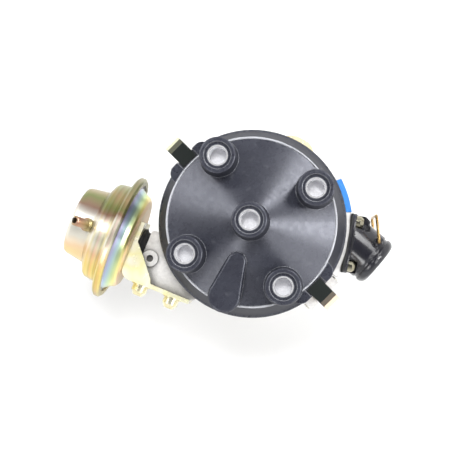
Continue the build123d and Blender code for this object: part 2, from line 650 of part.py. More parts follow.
with BuildPart() as cap:
    # outer form: lip, drafted wall, beaded rim and shallow dome
    with BuildSketch(Plane.XZ) as cap_outline:
        with BuildLine():
            Polyline(
                (0, joint_level),
                (cap_radius, joint_level),
                (cap_radius, lip_top),
                (cap_radius - EDGE_BREAK, lip_top + EDGE_BREAK),
                (cap_rim_radius, rim_level),
                (cap_rim_radius, bead_top),
                (cap_rim_radius - CAP_BEAD_WIDTH, bead_top),
                (cap_rim_radius - CAP_BEAD_WIDTH, rim_level + CAP_BEAD_WIDTH * dome_slope),
                (CENTRE_TOWER_RADIUS, apex_level),
                (0, apex_level),
                close=True,
            )
        make_face()
        for bead_edge in (cap_rim_radius, cap_rim_radius - CAP_BEAD_WIDTH):
            bead_corner = cap_outline.vertices().sort_by_distance((bead_edge, bead_top, 0))[0]
            fillet(bead_corner, CAP_BEAD_WIDTH * 0.35)
    revolve(axis=Axis.Z)
    # outer towers, slightly drafted
    with BuildSketch(Plane.XY.offset(tower_top)):
        with PolarLocations(TOWER_PITCH, TOWER_COUNT, start_angle=TOWER_ANGLE):
            Circle(TOWER_RADIUS)
    extrude(amount=-(tower_top - ear_foot - 8), taper=-TOWER_TAPER)
    # centre tower
    with BuildSketch(Plane.XY.offset(centre_top)):
        Circle(CENTRE_TOWER_RADIUS)
    extrude(amount=-(centre_top - apex_level + 3), taper=-TOWER_TAPER)
    fillet(
        cap.edges().filter_by(GeomType.CIRCLE).filter_by(
            lambda edge: edge.center().Z > tower_top - 0.01 and edge.radius > MOUTH_RADIUS
        ),
        TOWER_EDGE,
    )
    # vent bulge with a flat top
    with BuildSketch(Plane.XY.offset(ear_foot)):
        with BuildSketch(mode=Mode.PRIVATE) as vent_ends:
            with Locations(vent_out * VENT_INNER_PITCH):
                Circle(VENT_INNER_RADIUS)
            with Locations(vent_out * VENT_OUTER_PITCH):
                Circle(VENT_OUTER_RADIUS)
        make_hull(vent_ends.edges())
    extrude(amount=rim_level + VENT_RISE - ear_foot)
    vent_top = cap.faces().filter_by(Axis.Z).filter_by(
        lambda face: abs(face.center().Z - rim_level - VENT_RISE) < 0.01
    )
    fillet(vent_top.edges(), VENT_EDGE)
    # ears each side of the clip seats, and the seats between them
    for angle in CLIP_ANGLES:
        with BuildSketch(level_plane(angle, ear_foot)):
            with Locations((seat_reach - ear_depth / 2, 0)):
                Rectangle(ear_depth, 2 * ear_middle)
        extrude(amount=seat_level - ear_foot)
        with BuildSketch(level_plane(angle, ear_foot)) as ear_outline:
            with Locations((ear_reach - ear_depth / 2, ear_middle), (ear_reach - ear_depth / 2, -ear_middle)):
                Rectangle(ear_depth, EAR_BLOCK_WIDTH)
            ear_corners = ear_outline.vertices().sort_by(Axis.X)[-4:].sort_by(Axis.Y)
            fillet([ear_corners[0], ear_corners[-1]], EAR_BLOCK_ROUND)
        extrude(amount=rim_level - 0.6 - ear_foot)
    # hollow underneath
    with BuildSketch(Plane.XZ):
        with BuildLine():
            Polyline(
                (0, joint_level - ROOT),
                (cap_inner, joint_level - ROOT),
                (cap_inner, rim_level - 2 * CAP_WALL),
                (cap_rim_radius - 1.5 * CAP_WALL, rim_level - 0.8 * CAP_WALL),
                (CENTRE_TOWER_RADIUS, apex_level - CAP_WALL),
                (0, apex_level - CAP_WALL),
                close=True,
            )
        make_face()
    revolve(axis=Axis.Z, mode=Mode.SUBTRACT)
    # inner bosses round the terminal stems and the brush guide
    with BuildSketch(Plane.XY.offset(stem_end + 4)):
        with PolarLocations(TOWER_PITCH, TOWER_COUNT, start_angle=TOWER_ANGLE):
            Circle(stem_wall_radius)
    extrude(amount=rim_level - stem_end - 4)
    with BuildSketch(Plane.XY.offset(brush_guide_end)):
        Circle(stem_wall_radius + ROOT)
    extrude(amount=apex_level - brush_guide_end - ROOT)
    # bores for the terminals and stepped mouths
    for top, spots in ((tower_top, [heading(a) * TOWER_PITCH for a in socket_angles]),
                       (centre_top, [Vector(0, 0, 0)])):
        with BuildSketch(Plane.XY.offset(top)):
            with Locations(*spots):
                Circle(MOUTH_RADIUS)
        extrude(amount=-MOUTH_DEPTH, mode=Mode.SUBTRACT)
        with BuildSketch(Plane.XY.offset(top)):
            with Locations(*spots):
                Circle(TERMINAL_RADIUS + SEAT_GAP)
        extrude(amount=-MOUTH_DEPTH - TERMINAL_DEPTH - TERMINAL_FLOOR, mode=Mode.SUBTRACT)
        with BuildSketch(Plane.XY.offset(top)):
            with Locations(*spots):
                Circle(TERMINAL_STEM + SEAT_GAP)
        extrude(amount=-(top - joint_level), mode=Mode.SUBTRACT)

with BuildPart() as outer_terminals:
    for angle in socket_angles:
        spot = heading(angle) * TOWER_PITCH
        with BuildSketch(Plane.XY.offset(terminal_rim)):
            with Locations(spot):
                Circle(TERMINAL_RADIUS)
        extrude(amount=-TERMINAL_DEPTH - TERMINAL_FLOOR)
        with BuildSketch(Plane.XY.offset(terminal_rim)):
            with Locations(spot):
                Circle(TERMINAL_BORE)
        extrude(amount=-TERMINAL_DEPTH, mode=Mode.SUBTRACT)
        with BuildSketch(Plane.XY.offset(stem_end)):
            with Locations(spot):
                Circle(TERMINAL_STEM)
        extrude(amount=terminal_rim - TERMINAL_DEPTH - TERMINAL_FLOOR - stem_end)

with BuildPart() as centre_terminal:
    with BuildSketch(Plane.XY.offset(centre_rim)):
        Circle(TERMINAL_RADIUS)
    extrude(amount=-TERMINAL_DEPTH - TERMINAL_FLOOR)
    with BuildSketch(Plane.XY.offset(centre_rim)):
        Circle(TERMINAL_BORE)
    extrude(amount=-TERMINAL_DEPTH, mode=Mode.SUBTRACT)
    with BuildSketch(Plane.XY.offset(centre_stem_end)):
        Circle(TERMINAL_STEM)
    extrude(amount=centre_rim - TERMINAL_DEPTH - TERMINAL_FLOOR - centre_stem_end)

cap_seal = ring(seal_inner + SEAT_GAP, seal_outer - SEAT_GAP, joint_level - SEAL_DEPTH, joint_level)
dust_cover = ring(SLEEVE_RADIUS + 2, cover_bore - RUNNING_GAP, cover_ledge, cover_ledge + COVER_THICKNESS)

# ------------------------------------------------------------------ rotor arm and brush
rotor_foot = cover_ledge + COVER_THICKNESS + 1
rotor_top = joint_level + ROTOR_RISE
electrode_reach = terminal_face - ROTOR_GAP
rotor_contact = rotor_top + ELECTRODE_THICKNESS + STRIP_THICKNESS
brush_foot = rotor_contact
brush_top = brush_guide_end + 5
sleeve_top = rotor_top - 3

with BuildPart() as rotor_arm:
    with BuildSketch(Plane.XY.offset(rotor_foot)):
        Circle(SLEEVE_RADIUS + 3)
    extrude(amount=rotor_top - rotor_foot - ROTOR_THICKNESS / 2)
    with BuildSketch(Plane.XY.offset(rotor_top)):
        with BuildSketch(mode=Mode.PRIVATE) as arm_ends:
            with Locations((-ROTOR_TAIL_REACH, 0)):
                Circle(ROTOR_TAIL_RADIUS)
            with Locations((electrode_reach - ROTOR_TIP_RADIUS - 1.5, 0)):
                Circle(ROTOR_TIP_RADIUS)
        make_hull(arm_ends.edges())
    extrude(amount=-ROTOR_THICKNESS)
    fillet(rotor_arm.faces().sort_by(Axis.Z)[-1].edges(), 0.8)
    with BuildSketch(Plane.XY.offset(rotor_foot)):
        Circle(SLEEVE_RADIUS + SEAT_GAP)
    extrude(amount=sleeve_top - rotor_foot, mode=Mode.SUBTRACT)

with BuildPart() as rotor_electrode:
    with BuildSketch(Plane.XY.offset(rotor_top)):
        with Locations(((electrode_reach - ELECTRODE_TAIL) / 2, 0)):
            Rectangle(electrode_reach + ELECTRODE_TAIL, ELECTRODE_WIDTH)
    extrude(amount=ELECTRODE_THICKNESS)
    with BuildSketch(Plane.XY.offset(rotor_top - ROTOR_THICKNESS / 2)):
        with Locations((electrode_reach - ELECTRODE_THICKNESS / 2, 0)):
            Rectangle(ELECTRODE_THICKNESS, ELECTRODE_TIP_WIDTH)
    extrude(amount=ROTOR_THICKNESS / 2 + ELECTRODE_THICKNESS)

with BuildPart() as rotor_contact_strip:
    with BuildSketch(Plane.XY.offset(rotor_top + ELECTRODE_THICKNESS)):
        with Locations((STRIP_OFFSET, 0)):
            SlotOverall(STRIP_LENGTH, STRIP_WIDTH)
    extrude(amount=STRIP_THICKNESS)

with BuildPart() as carbon_brush:
    with BuildSketch(Plane.XY.offset(brush_foot)):
        Circle(brush_radius)
    extrude(amount=brush_top - brush_foot)
    chamfer(carbon_brush.faces().sort_by(Axis.Z)[0].edges(), 0.6)

brush_spring = coil((0, 0, brush_top + 0.4), (0, 0, 1), centre_stem_end - brush_top - 0.8, 1.7, 0.5, 4)

# ------------------------------------------------------------------ cap clips
clip_shoulder = seat_level + CLIP_THICKNESS
curl_radius = CLIP_PIN_RADIUS + RUNNING_GAP + CLIP_THICKNESS


def cap_clip(angle):
    """Sprung strip that curls round its pin, bows outwards and hooks over the cap."""
    out = clip_bow
    with BuildPart() as clip:
        with BuildSketch(side_plane(angle)) as strip:
            with BuildLine() as spine:
                rise = Line((clip_pin_pitch + curl_radius - CLIP_THICKNESS, CLIP_PIN_LEVEL),
                            (clip_pin_pitch + curl_radius - CLIP_THICKNESS, CLIP_PIN_LEVEL + 3))
                bow = Spline(rise @ 1, (out - 1, joint_level - 6), (out - 0.6, joint_level + 6),
                             (out - 3.6, clip_shoulder - 1.6), tangents=[(0, 1), (-0.6, 1)])
                Line(bow @ 1, (out - 5.6, seat_level))
                Line((out - 5.6, seat_level), (clip_tip, seat_level))
                Line((clip_tip, seat_level), (clip_tip, clip_shoulder))
                Line((clip_tip, clip_shoulder), (out - 5.0, clip_shoulder))
                outer_top = Line((out - 5.0, clip_shoulder), (out - 2.7, clip_shoulder - 1.2))
                outer_bow = Spline(outer_top @ 1, (out + 0.3, joint_level + 6), (out - 0.1, joint_level - 6),
                                   (clip_pin_pitch + curl_radius, CLIP_PIN_LEVEL + 3),
                                   tangents=[(0.6, -1), (0, -1)])
                Line(outer_bow @ 1, (clip_pin_pitch + curl_radius, CLIP_PIN_LEVEL))
                Line((clip_pin_pitch + curl_radius, CLIP_PIN_LEVEL), rise @ 0)
            make_face()
            with Locations((clip_pin_pitch, CLIP_PIN_LEVEL)):
                Circle(curl_radius)
                Circle(CLIP_PIN_RADIUS + RUNNING_GAP, mode=Mode.SUBTRACT)
        extrude(amount=CLIP_WIDTH / 2, both=True)
    return clip


clip_upper_left = cap_clip(CLIP_ANGLES[0])
clip_lower_right = cap_clip(CLIP_ANGLES[1])
with BuildPart() as clip_pins:
    for angle in CLIP_ANGLES:
        with BuildSketch(side_plane(angle)):
            with Locations((clip_pin_pitch, CLIP_PIN_LEVEL)):
                Circle(CLIP_PIN_RADIUS)
        extrude(amount=lug_middle + CLIP_LUG_THICKNESS / 2 + 0.6, both=True)

# ------------------------------------------------------------------ drive shaft and its bearings
groove_radius = SHANK_RADIUS - groove_depth
with BuildPart() as shaft_bushes:
    with BuildSketch(Plane.XY.offset(-SHANK_LENGTH), Plane.XY.offset(bowl_floor - BUSH_LENGTH)):
        Circle(bush_radius)
        Circle(SHAFT_RADIUS + RUNNING_GAP, mode=Mode.SUBTRACT)
    extrude(amount=BUSH_LENGTH)

upper_thrust_washer = ring(SHAFT_RADIUS + RUNNING_GAP, bush_radius + 2, bowl_floor, hub_underside)
lower_thrust_washer = ring(
    SHAFT_RADIUS + RUNNING_GAP, bush_radius + 2, -SHANK_LENGTH - WASHER_THICKNESS, -SHANK_LENGTH
)

with BuildPart() as shank_o_ring:
    with BuildSketch(Plane.XZ):
        with Locations((groove_radius + O_RING_SECTION / 2 + SEAT_GAP, -O_RING_DEPTH)):
            Circle(O_RING_SECTION / 2)
    revolve(axis=Axis.Z)

with BuildPart() as main_shaft:
    with BuildSketch(Plane.XZ):
        with BuildLine():
            Polyline(
                (0, gear_hub_end - 1.5),
                (SHAFT_RADIUS - 1.5, gear_hub_end - 1.5),
                (SHAFT_RADIUS, gear_hub_end),
                (SHAFT_RADIUS, cam_plate_underside),
                (SPINDLE_RADIUS, cam_plate_underside),
                (SPINDLE_RADIUS, spindle_top),
                (0, spindle_top),
                close=True,
            )
        make_face()
    revolve(axis=Axis.Z)
    with BuildSketch(Plane.XZ):
        with Locations((0, gear_hub_end + GEAR_HUB_LENGTH / 2)):
            Circle(GEAR_PIN_RADIUS + SEAT_GAP)
    extrude(amount=GEAR_HUB_RADIUS, both=True, mode=Mode.SUBTRACT)
    with BuildSketch(Plane.XY.offset(spindle_top)):
        Circle(SLEEVE_SCREW_RADIUS + SEAT_GAP)
    extrude(amount=-SLEEVE_SCREW_LENGTH - ROOT, mode=Mode.SUBTRACT)

# helical drive gear: one flat-topped tooth outline, repeated and twisted along the gear
gear_root = GEAR_RADIUS - GEAR_TOOTH_DEPTH
tooth_step = 360 / GEAR_TEETH
tooth_corners = ((gear_root, -0.38), (GEAR_RADIUS, -0.17), (GEAR_RADIUS, 0.17), (gear_root, 0.38))
gear_points = [
    heading((index + share) * tooth_step) * radius
    for index in range(GEAR_TEETH)
    for radius, share in tooth_corners
]
with BuildPart() as drive_gear:
    with BuildSketch(mode=Mode.PRIVATE) as gear_face:
        with BuildLine():
            Polyline(*gear_points, close=True)
        make_face()
    teeth = Solid.extrude_linear_with_rotation(
        gear_face.sketch.faces()[0], (0, 0, 0), (0, 0, GEAR_WIDTH), GEAR_TWIST
    )
    add(teeth.moved(Location((0, 0, gear_underside))))
    with BuildSketch(Plane.XY.offset(gear_hub_end)):
        Circle(GEAR_HUB_RADIUS)
    extrude(amount=GEAR_HUB_LENGTH)
    with BuildSketch(Plane.XY.offset(gear_hub_end)):
        Circle(SHAFT_RADIUS + SEAT_GAP)
    extrude(amount=GEAR_HUB_LENGTH + GEAR_WIDTH, mode=Mode.SUBTRACT)
    with BuildSketch(Plane.XZ):
        with Locations((0, gear_hub_end + GEAR_HUB_LENGTH / 2)):
            Circle(GEAR_PIN_RADIUS + SEAT_GAP)
    extrude(amount=GEAR_HUB_RADIUS + 1, both=True, mode=Mode.SUBTRACT)

with BuildPart() as gear_pin:
    with BuildSketch(Plane.XZ):
        with Locations((0, gear_hub_end + GEAR_HUB_LENGTH / 2)):
            Circle(GEAR_PIN_RADIUS)
    extrude(amount=GEAR_HUB_RADIUS - 0.2, both=True)

# ------------------------------------------------------------------ centrifugal advance
with BuildPart() as governor_plate:
    with BuildSketch(Plane.XY.offset(governor_underside)):
        Circle(GOVERNOR_PLATE_RADIUS)
    extrude(amount=GOVERNOR_PLATE_THICKNESS)
    with BuildSketch(Plane.XY.offset(hub_underside)):
        Circle(GOVERNOR_HUB_RADIUS)
    extrude(amount=cam_plate_underside - hub_underside)
    with BuildSketch(Plane.XY.offset(governor_underside)):
        for turn in (0, 180):
            with Locations(heading(SPRING_POST_ANGLE + turn) * SPRING_POST_PITCH):
                Circle(SPRING_POST_RADIUS)
    extrude(amount=spring_level + 1 - governor_underside)
    with BuildSketch(Plane.XY.offset(hub_underside)):
        Circle(SHAFT_RADIUS + SEAT_GAP)
    extrude(amount=cam_plate_underside - hub_underside, mode=Mode.SUBTRACT)
    with BuildSketch(Plane.XY.offset(governor_underside)):
        with PolarLocations(WEIGHT_PIVOT, 2):
            Circle(WEIGHT_PIN_RADIUS + SEAT_GAP)
    extrude(amount=GOVERNOR_PLATE_THICKNESS, mode=Mode.SUBTRACT)

with BuildPart() as weight_pins:
    with BuildSketch(Plane.XY.offset(governor_underside)):
        with PolarLocations(WEIGHT_PIVOT, 2):
            Circle(WEIGHT_PIN_RADIUS)
    extrude(amount=weight_top + LOOSE_GAP - governor_underside)


def governor_weight(turn):
    """Crescent weight on its pin, with the stud that drives the cam plate."""
    with BuildPart() as weight:
        with BuildSketch(Plane.XY.offset(weight_underside)):
            SlotArc(CenterArc((0, 0), WEIGHT_PITCH, turn, WEIGHT_SPAN), WEIGHT_WIDTH)
            with Locations(heading(turn) * WEIGHT_PIVOT):
                Circle(WEIGHT_PIN_RADIUS + RUNNING_GAP, mode=Mode.SUBTRACT)
        extrude(amount=WEIGHT_THICKNESS)
        with BuildSketch(Plane.XY.offset(weight_top)):
            with Locations(heading(turn + 90) * DRIVE_STUD_PITCH):
                Circle(DRIVE_STUD_RADIUS)
        extrude(amount=cam_plate_top + LOOSE_GAP - weight_top)
    return weight


governor_weight_front = governor_weight(0)
governor_weight_rear = governor_weight(180)

stud_slot_half = DRIVE_STUD_RADIUS + DRIVE_SLOT_GAP
slot_inner = DRIVE_STUD_PITCH - stud_slot_half
slot_outer = DRIVE_STUD_PITCH + WEIGHT_PIVOT * sin(radians(12)) + stud_slot_half + 0.4
arm_post_pitch = slot_outer + 2 * SPRING_POST_RADIUS
sleeve_bore = SPINDLE_RADIUS + RUNNING_GAP
sleeve_shoulder = spindle_top - 1
roll_pin_spot = heading(PICKUP_ANGLE + 45) * SLEEVE_RADIUS
with BuildPart() as cam_sleeve:
    with BuildSketch(Plane.XY.offset(cam_plate_underside)) as cam_outline:
        Circle(SLEEVE_RADIUS + 2)
        Rectangle(CAM_ARM_WIDTH, 2 * max(CAM_ARM_REACH, arm_post_pitch + SPRING_POST_RADIUS + 1))
        fillet(cam_outline.vertices().sort_by(Axis.Y)[:2] + cam_outline.vertices().sort_by(Axis.Y)[-2:], 2)
        with PolarLocations((slot_inner + slot_outer) / 2, 2, start_angle=90):
            SlotOverall(slot_outer - slot_inner, 2 * stud_slot_half, mode=Mode.SUBTRACT)
    extrude(amount=CAM_PLATE_THICKNESS)
    with BuildSketch(Plane.XY.offset(cam_plate_underside)):
        Circle(SLEEVE_RADIUS)
    extrude(amount=sleeve_top - cam_plate_underside)
    with BuildSketch(Plane.XY.offset(cam_plate_top)):
        with PolarLocations(arm_post_pitch, 2, start_angle=90):
            Circle(SPRING_POST_RADIUS)
    extrude(amount=spring_level + 1 - cam_plate_top)
    with BuildSketch(Plane.XY.offset(cam_plate_underside)):
        Circle(sleeve_bore)
    extrude(amount=sleeve_top - cam_plate_underside, mode=Mode.SUBTRACT)
    with BuildSketch(Plane.XY.offset(sleeve_shoulder)):
        Circle(sleeve_bore + 1)
    extrude(amount=sleeve_top - sleeve_shoulder, mode=Mode.SUBTRACT)
    with BuildSketch(Plane.XY.offset(reluctor_underside)):
        with Locations(roll_pin_spot):
            Circle(ROLL_PIN_RADIUS + SEAT_GAP)
    extrude(amount=RELUCTOR_HEIGHT, mode=Mode.SUBTRACT)

sleeve_washer_top = spindle_top + SLEEVE_WASHER_THICKNESS
sleeve_washer = ring(
    SLEEVE_SCREW_RADIUS + RUNNING_GAP, sleeve_bore + ROOT - LOOSE_GAP, spindle_top, sleeve_washer_top
)
sleeve_screw = screws(
    [Plane.XY.offset(sleeve_washer_top)], SLEEVE_SCREW_RADIUS, SLEEVE_SCREW_LENGTH, 3.2, 2.2, slot=0.8
)


def governor_spring(turn):
    """Extension spring between a plate post and an arm post, with an eye round each."""
    post = heading(SPRING_POST_ANGLE + turn) * SPRING_POST_PITCH + Vector(0, 0, spring_level)
    arm_post = heading(90 + turn) * arm_post_pitch + Vector(0, 0, spring_level)
    along = (arm_post - post).normalized()
    eye_radius = SPRING_POST_RADIUS + GOVERNOR_WIRE / 2 + RUNNING_GAP
    clear = eye_radius + GOVERNOR_WIRE
    body_length = (arm_post - post).length - 2 * clear
    with BuildPart() as spring:
        for spot in (post, arm_post):
            with BuildSketch(Plane(origin=spot, x_dir=along, z_dir=along.cross(Vector(0, 0, 1)))):
                with Locations((eye_radius, 0)):
                    Circle(GOVERNOR_WIRE / 2)
            revolve(axis=Axis(spot, (0, 0, 1)))
        with BuildSketch(Plane(origin=post + along * eye_radius, z_dir=along)):
            Circle(GOVERNOR_SPRING_RADIUS * 0.35)
        extrude(amount=(arm_post - post).length - 2 * eye_radius)
        with BuildSketch(Plane(origin=post + along * clear, z_dir=along)):
            Circle(GOVERNOR_SPRING_RADIUS)
        extrude(amount=body_length)
    return spring


governor_spring_front = governor_spring(0)
governor_spring_rear = governor_spring(180)

# ------------------------------------------------------------------ reluctor and pickup
with BuildPart() as reluctor:
    with BuildSketch(Plane.XY.offset(reluctor_underside)):
        Circle(RELUCTOR_HUB)
        with PolarLocations(RELUCTOR_RADIUS - 3, TOWER_COUNT, start_angle=PICKUP_ANGLE):
            Rectangle(6, 3)
        Circle(SLEEVE_RADIUS + SEAT_GAP, mode=Mode.SUBTRACT)
        with Locations(roll_pin_spot):
            Circle(ROLL_PIN_RADIUS + SEAT_GAP, mode=Mode.SUBTRACT)
    extrude(amount=RELUCTOR_HEIGHT)

with BuildPart() as reluctor_pin:
    with BuildSketch(Plane.XY.offset(reluctor_underside)):
        with Locations(roll_pin_spot):
            Circle(ROLL_PIN_RADIUS)
    extrude(amount=RELUCTOR_HEIGHT)

with BuildPart() as pickup_base_plate:
    with BuildSketch(Plane.XY.offset(base_plate_underside)):
        Circle(bowl_bore - 2 * RUNNING_GAP)
        Circle(BASE_COLLAR_BORE, mode=Mode.SUBTRACT)
        for angle in BASE_BOSS_ANGLES:
            with Locations(heading(angle) * base_boss_pitch):
                Circle(BASE_SCREW_RADIUS + 0.2, mode=Mode.SUBTRACT)
    extrude(amount=BASE_PLATE_THICKNESS)
    with BuildSketch(Plane.XY.offset(base_plate_top)):
        Circle(BASE_COLLAR_RADIUS)
        Circle(BASE_COLLAR_BORE, mode=Mode.SUBTRACT)
    extrude(amount=breaker_top + 1 - base_plate_top)

base_plate_screws = screws(
    [Plane(origin=heading(angle) * base_boss_pitch + Vector(0, 0, base_plate_top))
     for angle in BASE_BOSS_ANGLES],
    BASE_SCREW_RADIUS, BASE_SCREW_LENGTH, 2.3, 1.2, slot=0.7,
)
plate_snap_ring = ring(
    BASE_COLLAR_RADIUS + SEAT_GAP, BASE_COLLAR_RADIUS + SNAP_RING_WIDTH,
    breaker_top, breaker_top + SNAP_RING_THICKNESS,
)

pin_turn = degrees(LINK_TRAVEL / 2 / LINK_OFFSET)
pin_spot = heading(VAC_HEADING + 90 + pin_turn) * (LINK_OFFSET - LINK_PIN_GAP / 10)
pickup_axis_level = (reluctor_top + reluctor_underside) / 2
pickup_screw_spots = [
    (BREAKER_PLATE_RADIUS - PICKUP_INSET, side * PICKUP_SCREW_SPACING / 2) for side in (-1, 1)
]
with BuildPart() as breaker_plate:
    with BuildSketch(Plane.XY.offset(breaker_underside)):
        Circle(BREAKER_PLATE_RADIUS)
        Circle(BASE_COLLAR_RADIUS + RUNNING_GAP, mode=Mode.SUBTRACT)
        with Locations(pin_spot):
            Circle(LINK_PIN_RADIUS + SEAT_GAP, mode=Mode.SUBTRACT)
    extrude(amount=BREAKER_PLATE_THICKNESS)
    with BuildSketch(level_plane(PICKUP_ANGLE, breaker_top)):
        with Locations(*pickup_screw_spots):
            Circle(PICKUP_SCREW_RADIUS + SEAT_GAP)
    extrude(amount=-BREAKER_PLATE_THICKNESS, mode=Mode.SUBTRACT)

with BuildPart() as link_pin:
    with BuildSketch(Plane.XY.offset(link_underside - 0.6)):
        with Locations(pin_spot):
            Circle(LINK_PIN_RADIUS)
    extrude(amount=breaker_top - link_underside + 0.6)
    with BuildSketch(Plane.XY.offset(breaker_top)):
        with Locations(pin_spot):
            Circle(LINK_PIN_RADIUS + 1)
    extrude(amount=0.8)

pole_start = RELUCTOR_RADIUS + AIR_GAP
pole_end = BREAKER_PLATE_RADIUS - 2
coil_start = pole_end - POLE_BRACKET - MAGNET_THICKNESS - COIL_LENGTH
pickup_out = heading(PICKUP_ANGLE)
foot_top = pickup_axis_level - COIL_RADIUS - 0.1
with BuildPart() as pole_piece:
    with BuildSketch(level_plane(PICKUP_ANGLE, breaker_top)):
        with Locations(((coil_start + 2 + pole_end) / 2, 0)):
            Rectangle(pole_end - coil_start - 2, POLE_FOOT_WIDTH)
        with Locations(*pickup_screw_spots):
            Circle(PICKUP_SCREW_RADIUS + 2 * RUNNING_GAP, mode=Mode.SUBTRACT)
    extrude(amount=foot_top - breaker_top)
    with BuildSketch(level_plane(PICKUP_ANGLE, foot_top)):
        with Locations((pole_end - POLE_BRACKET / 2, 0)):
            Rectangle(POLE_BRACKET, POLE_FOOT_WIDTH / 2)
    extrude(amount=2 * COIL_RADIUS)
    with BuildSketch(facing(pickup_out * (pole_end - ROOT) + Vector(0, 0, pickup_axis_level), pickup_out)):
        Circle(POLE_RADIUS)
    extrude(amount=-(pole_end - ROOT - pole_start))
pickup_screws = screws(
    [Plane(origin=level_plane(PICKUP_ANGLE, foot_top).from_local_coords((*spot, 0)))
     for spot in pickup_screw_spots],
    PICKUP_SCREW_RADIUS, foot_top - breaker_underside, 1.8, 1.3,
)

coil_mouth = facing(pickup_out * coil_start + Vector(0, 0, pickup_axis_level), pickup_out)
with BuildPart() as pickup_coil:
    with BuildSketch(coil_mouth):
        Circle(COIL_RADIUS - COIL_WINDING_INSET)
    extrude(amount=COIL_LENGTH)
    with BuildSketch(coil_mouth, coil_mouth.offset(COIL_LENGTH - COIL_CHEEK)):
        Circle(COIL_RADIUS)
    extrude(amount=COIL_CHEEK)
    with BuildSketch(coil_mouth):
        Circle(POLE_RADIUS + SEAT_GAP)
    extrude(amount=COIL_LENGTH, mode=Mode.SUBTRACT)

with BuildPart() as pickup_magnet:
    with BuildSketch(coil_mouth.offset(COIL_LENGTH)):
        Circle(COIL_RADIUS - LOOSE_GAP)
        Circle(POLE_RADIUS + SEAT_GAP, mode=Mode.SUBTRACT)
    extrude(amount=pole_end - POLE_BRACKET - coil_start - COIL_LENGTH)

# ------------------------------------------------------------------ vacuum advance
rim = CAN_RIM_RADIUS
dish = CAN_DISH_RADIUS
outer_shell_outline = (
    (CAN_CUP_HEIGHT, 0), (CAN_CUP_HEIGHT, CAN_CUP_RADIUS - 2.6), (CAN_CUP_HEIGHT - 0.5, CAN_CUP_RADIUS - 1.4),
    (CAN_CUP_HEIGHT - 1.6, CAN_CUP_RADIUS - 0.8), (CAN_STEP_HEIGHT + 2.4, CAN_CUP_RADIUS + 0.6),
    (CAN_STEP_HEIGHT, CAN_STEP_RADIUS - 1), (CAN_STEP_HEIGHT - 1.2, CAN_STEP_RADIUS),
    (CAN_RIM_HALF + 1.4, CAN_STEP_RADIUS + 0.8), (CAN_RIM_HALF, rim - 3.4),
    (CAN_RIM_HALF, rim - 1), (CAN_RIM_HALF - 0.9, rim), (0.9 - CAN_RIM_HALF, rim),
    (-CAN_RIM_HALF, rim - 1), (-CAN_RIM_HALF, rim - 3.2), (-SHEET, rim - 3.2), (-SHEET, rim - SHEET),
    (DIAPHRAGM_THICKNESS, rim - SHEET), (DIAPHRAGM_THICKNESS, rim - 4),
    (CAN_RIM_HALF + 0.6, CAN_STEP_RADIUS + 0.8 - SHEET), (CAN_STEP_HEIGHT - 1.8, CAN_STEP_RADIUS - SHEET),
    (CAN_STEP_HEIGHT + 2 - SHEET, CAN_CUP_RADIUS + 0.6 - SHEET),
    (CAN_CUP_HEIGHT - 2.4, CAN_CUP_RADIUS - 0.8 - SHEET), (CAN_CUP_HEIGHT - SHEET, CAN_CUP_RADIUS - 3.4),
    (CAN_CUP_HEIGHT - SHEET, 0),
)
nipple_foot = can_centre + vac_out * (NIPPLE_REACH - 3.5) + Vector(0, 0, CAN_CUP_RADIUS - 0.9)
nipple_way = vac_out * sin(radians(NIPPLE_LEAN)) + Vector(0, 0, cos(radians(NIPPLE_LEAN)))
nipple_plane = Plane(origin=nipple_foot, x_dir=vac_side, z_dir=nipple_way)
with BuildPart() as vacuum_outer_shell:
    with BuildSketch(can_plane):
        with BuildLine():
            Polyline(*[(radius, out) for out, radius in outer_shell_outline], close=True)
        make_face()
    revolve(axis=can_axis)
    with BuildSketch(nipple_plane):
        Circle(NIPPLE_FOOT_RADIUS + SEAT_GAP)
    extrude(amount=4, both=True, mode=Mode.SUBTRACT)

with BuildPart() as hose_nipple:
    with BuildSketch(Plane(origin=nipple_foot, x_dir=nipple_way, z_dir=nipple_way.cross(vac_side))):
        with BuildLine():
            Polyline(
                (-1.5, 0),
                (-1.5, NIPPLE_FOOT_RADIUS),
                (2.8, NIPPLE_FOOT_RADIUS),
                (3.6, NIPPLE_RADIUS),
                (NIPPLE_LENGTH - 0.4, NIPPLE_RADIUS),
                (NIPPLE_LENGTH, NIPPLE_RADIUS - 0.4),
                (NIPPLE_LENGTH, 0),
                close=True,
            )
        make_face()
    revolve(axis=Axis(nipple_foot, nipple_way))
    with BuildSketch(nipple_plane.offset(-1.5)):
        Circle(NIPPLE_BORE)
    extrude(amount=NIPPLE_LENGTH + 1.5, mode=Mode.SUBTRACT)

link_hole = LINK_ROD_RADIUS + 0.8
vacuum_inner_shell = turned(
    [(radius, out) for out, radius in (
        (0, rim - SHEET - 0.1), (-SHEET, rim - SHEET - 0.1), (-SHEET, rim - 4.4),
        (-1.9, rim - 5.2), (-4.4, CAN_STEP_RADIUS - 0.2), (-CAN_DISH_DEPTH + 1.6, CAN_STEP_RADIUS - 1.0),
        (-CAN_DISH_DEPTH + 0.6, CAN_STEP_RADIUS - 2.2), (-CAN_DISH_DEPTH, dish + 4),
        (-CAN_DISH_DEPTH, link_hole), (SHEET - CAN_DISH_DEPTH, link_hole),
        (SHEET - CAN_DISH_DEPTH, dish + 3.6), (SHEET - CAN_DISH_DEPTH + 1.4, CAN_STEP_RADIUS - 2.4),
        (-3.8, CAN_STEP_RADIUS - 1.0), (-1.2, rim - 5.8), (0, rim - 4.8),
    )],
    plane=can_plane, axis=can_axis,
)
cup_level = SHEET - CAN_DISH_DEPTH + 3.4
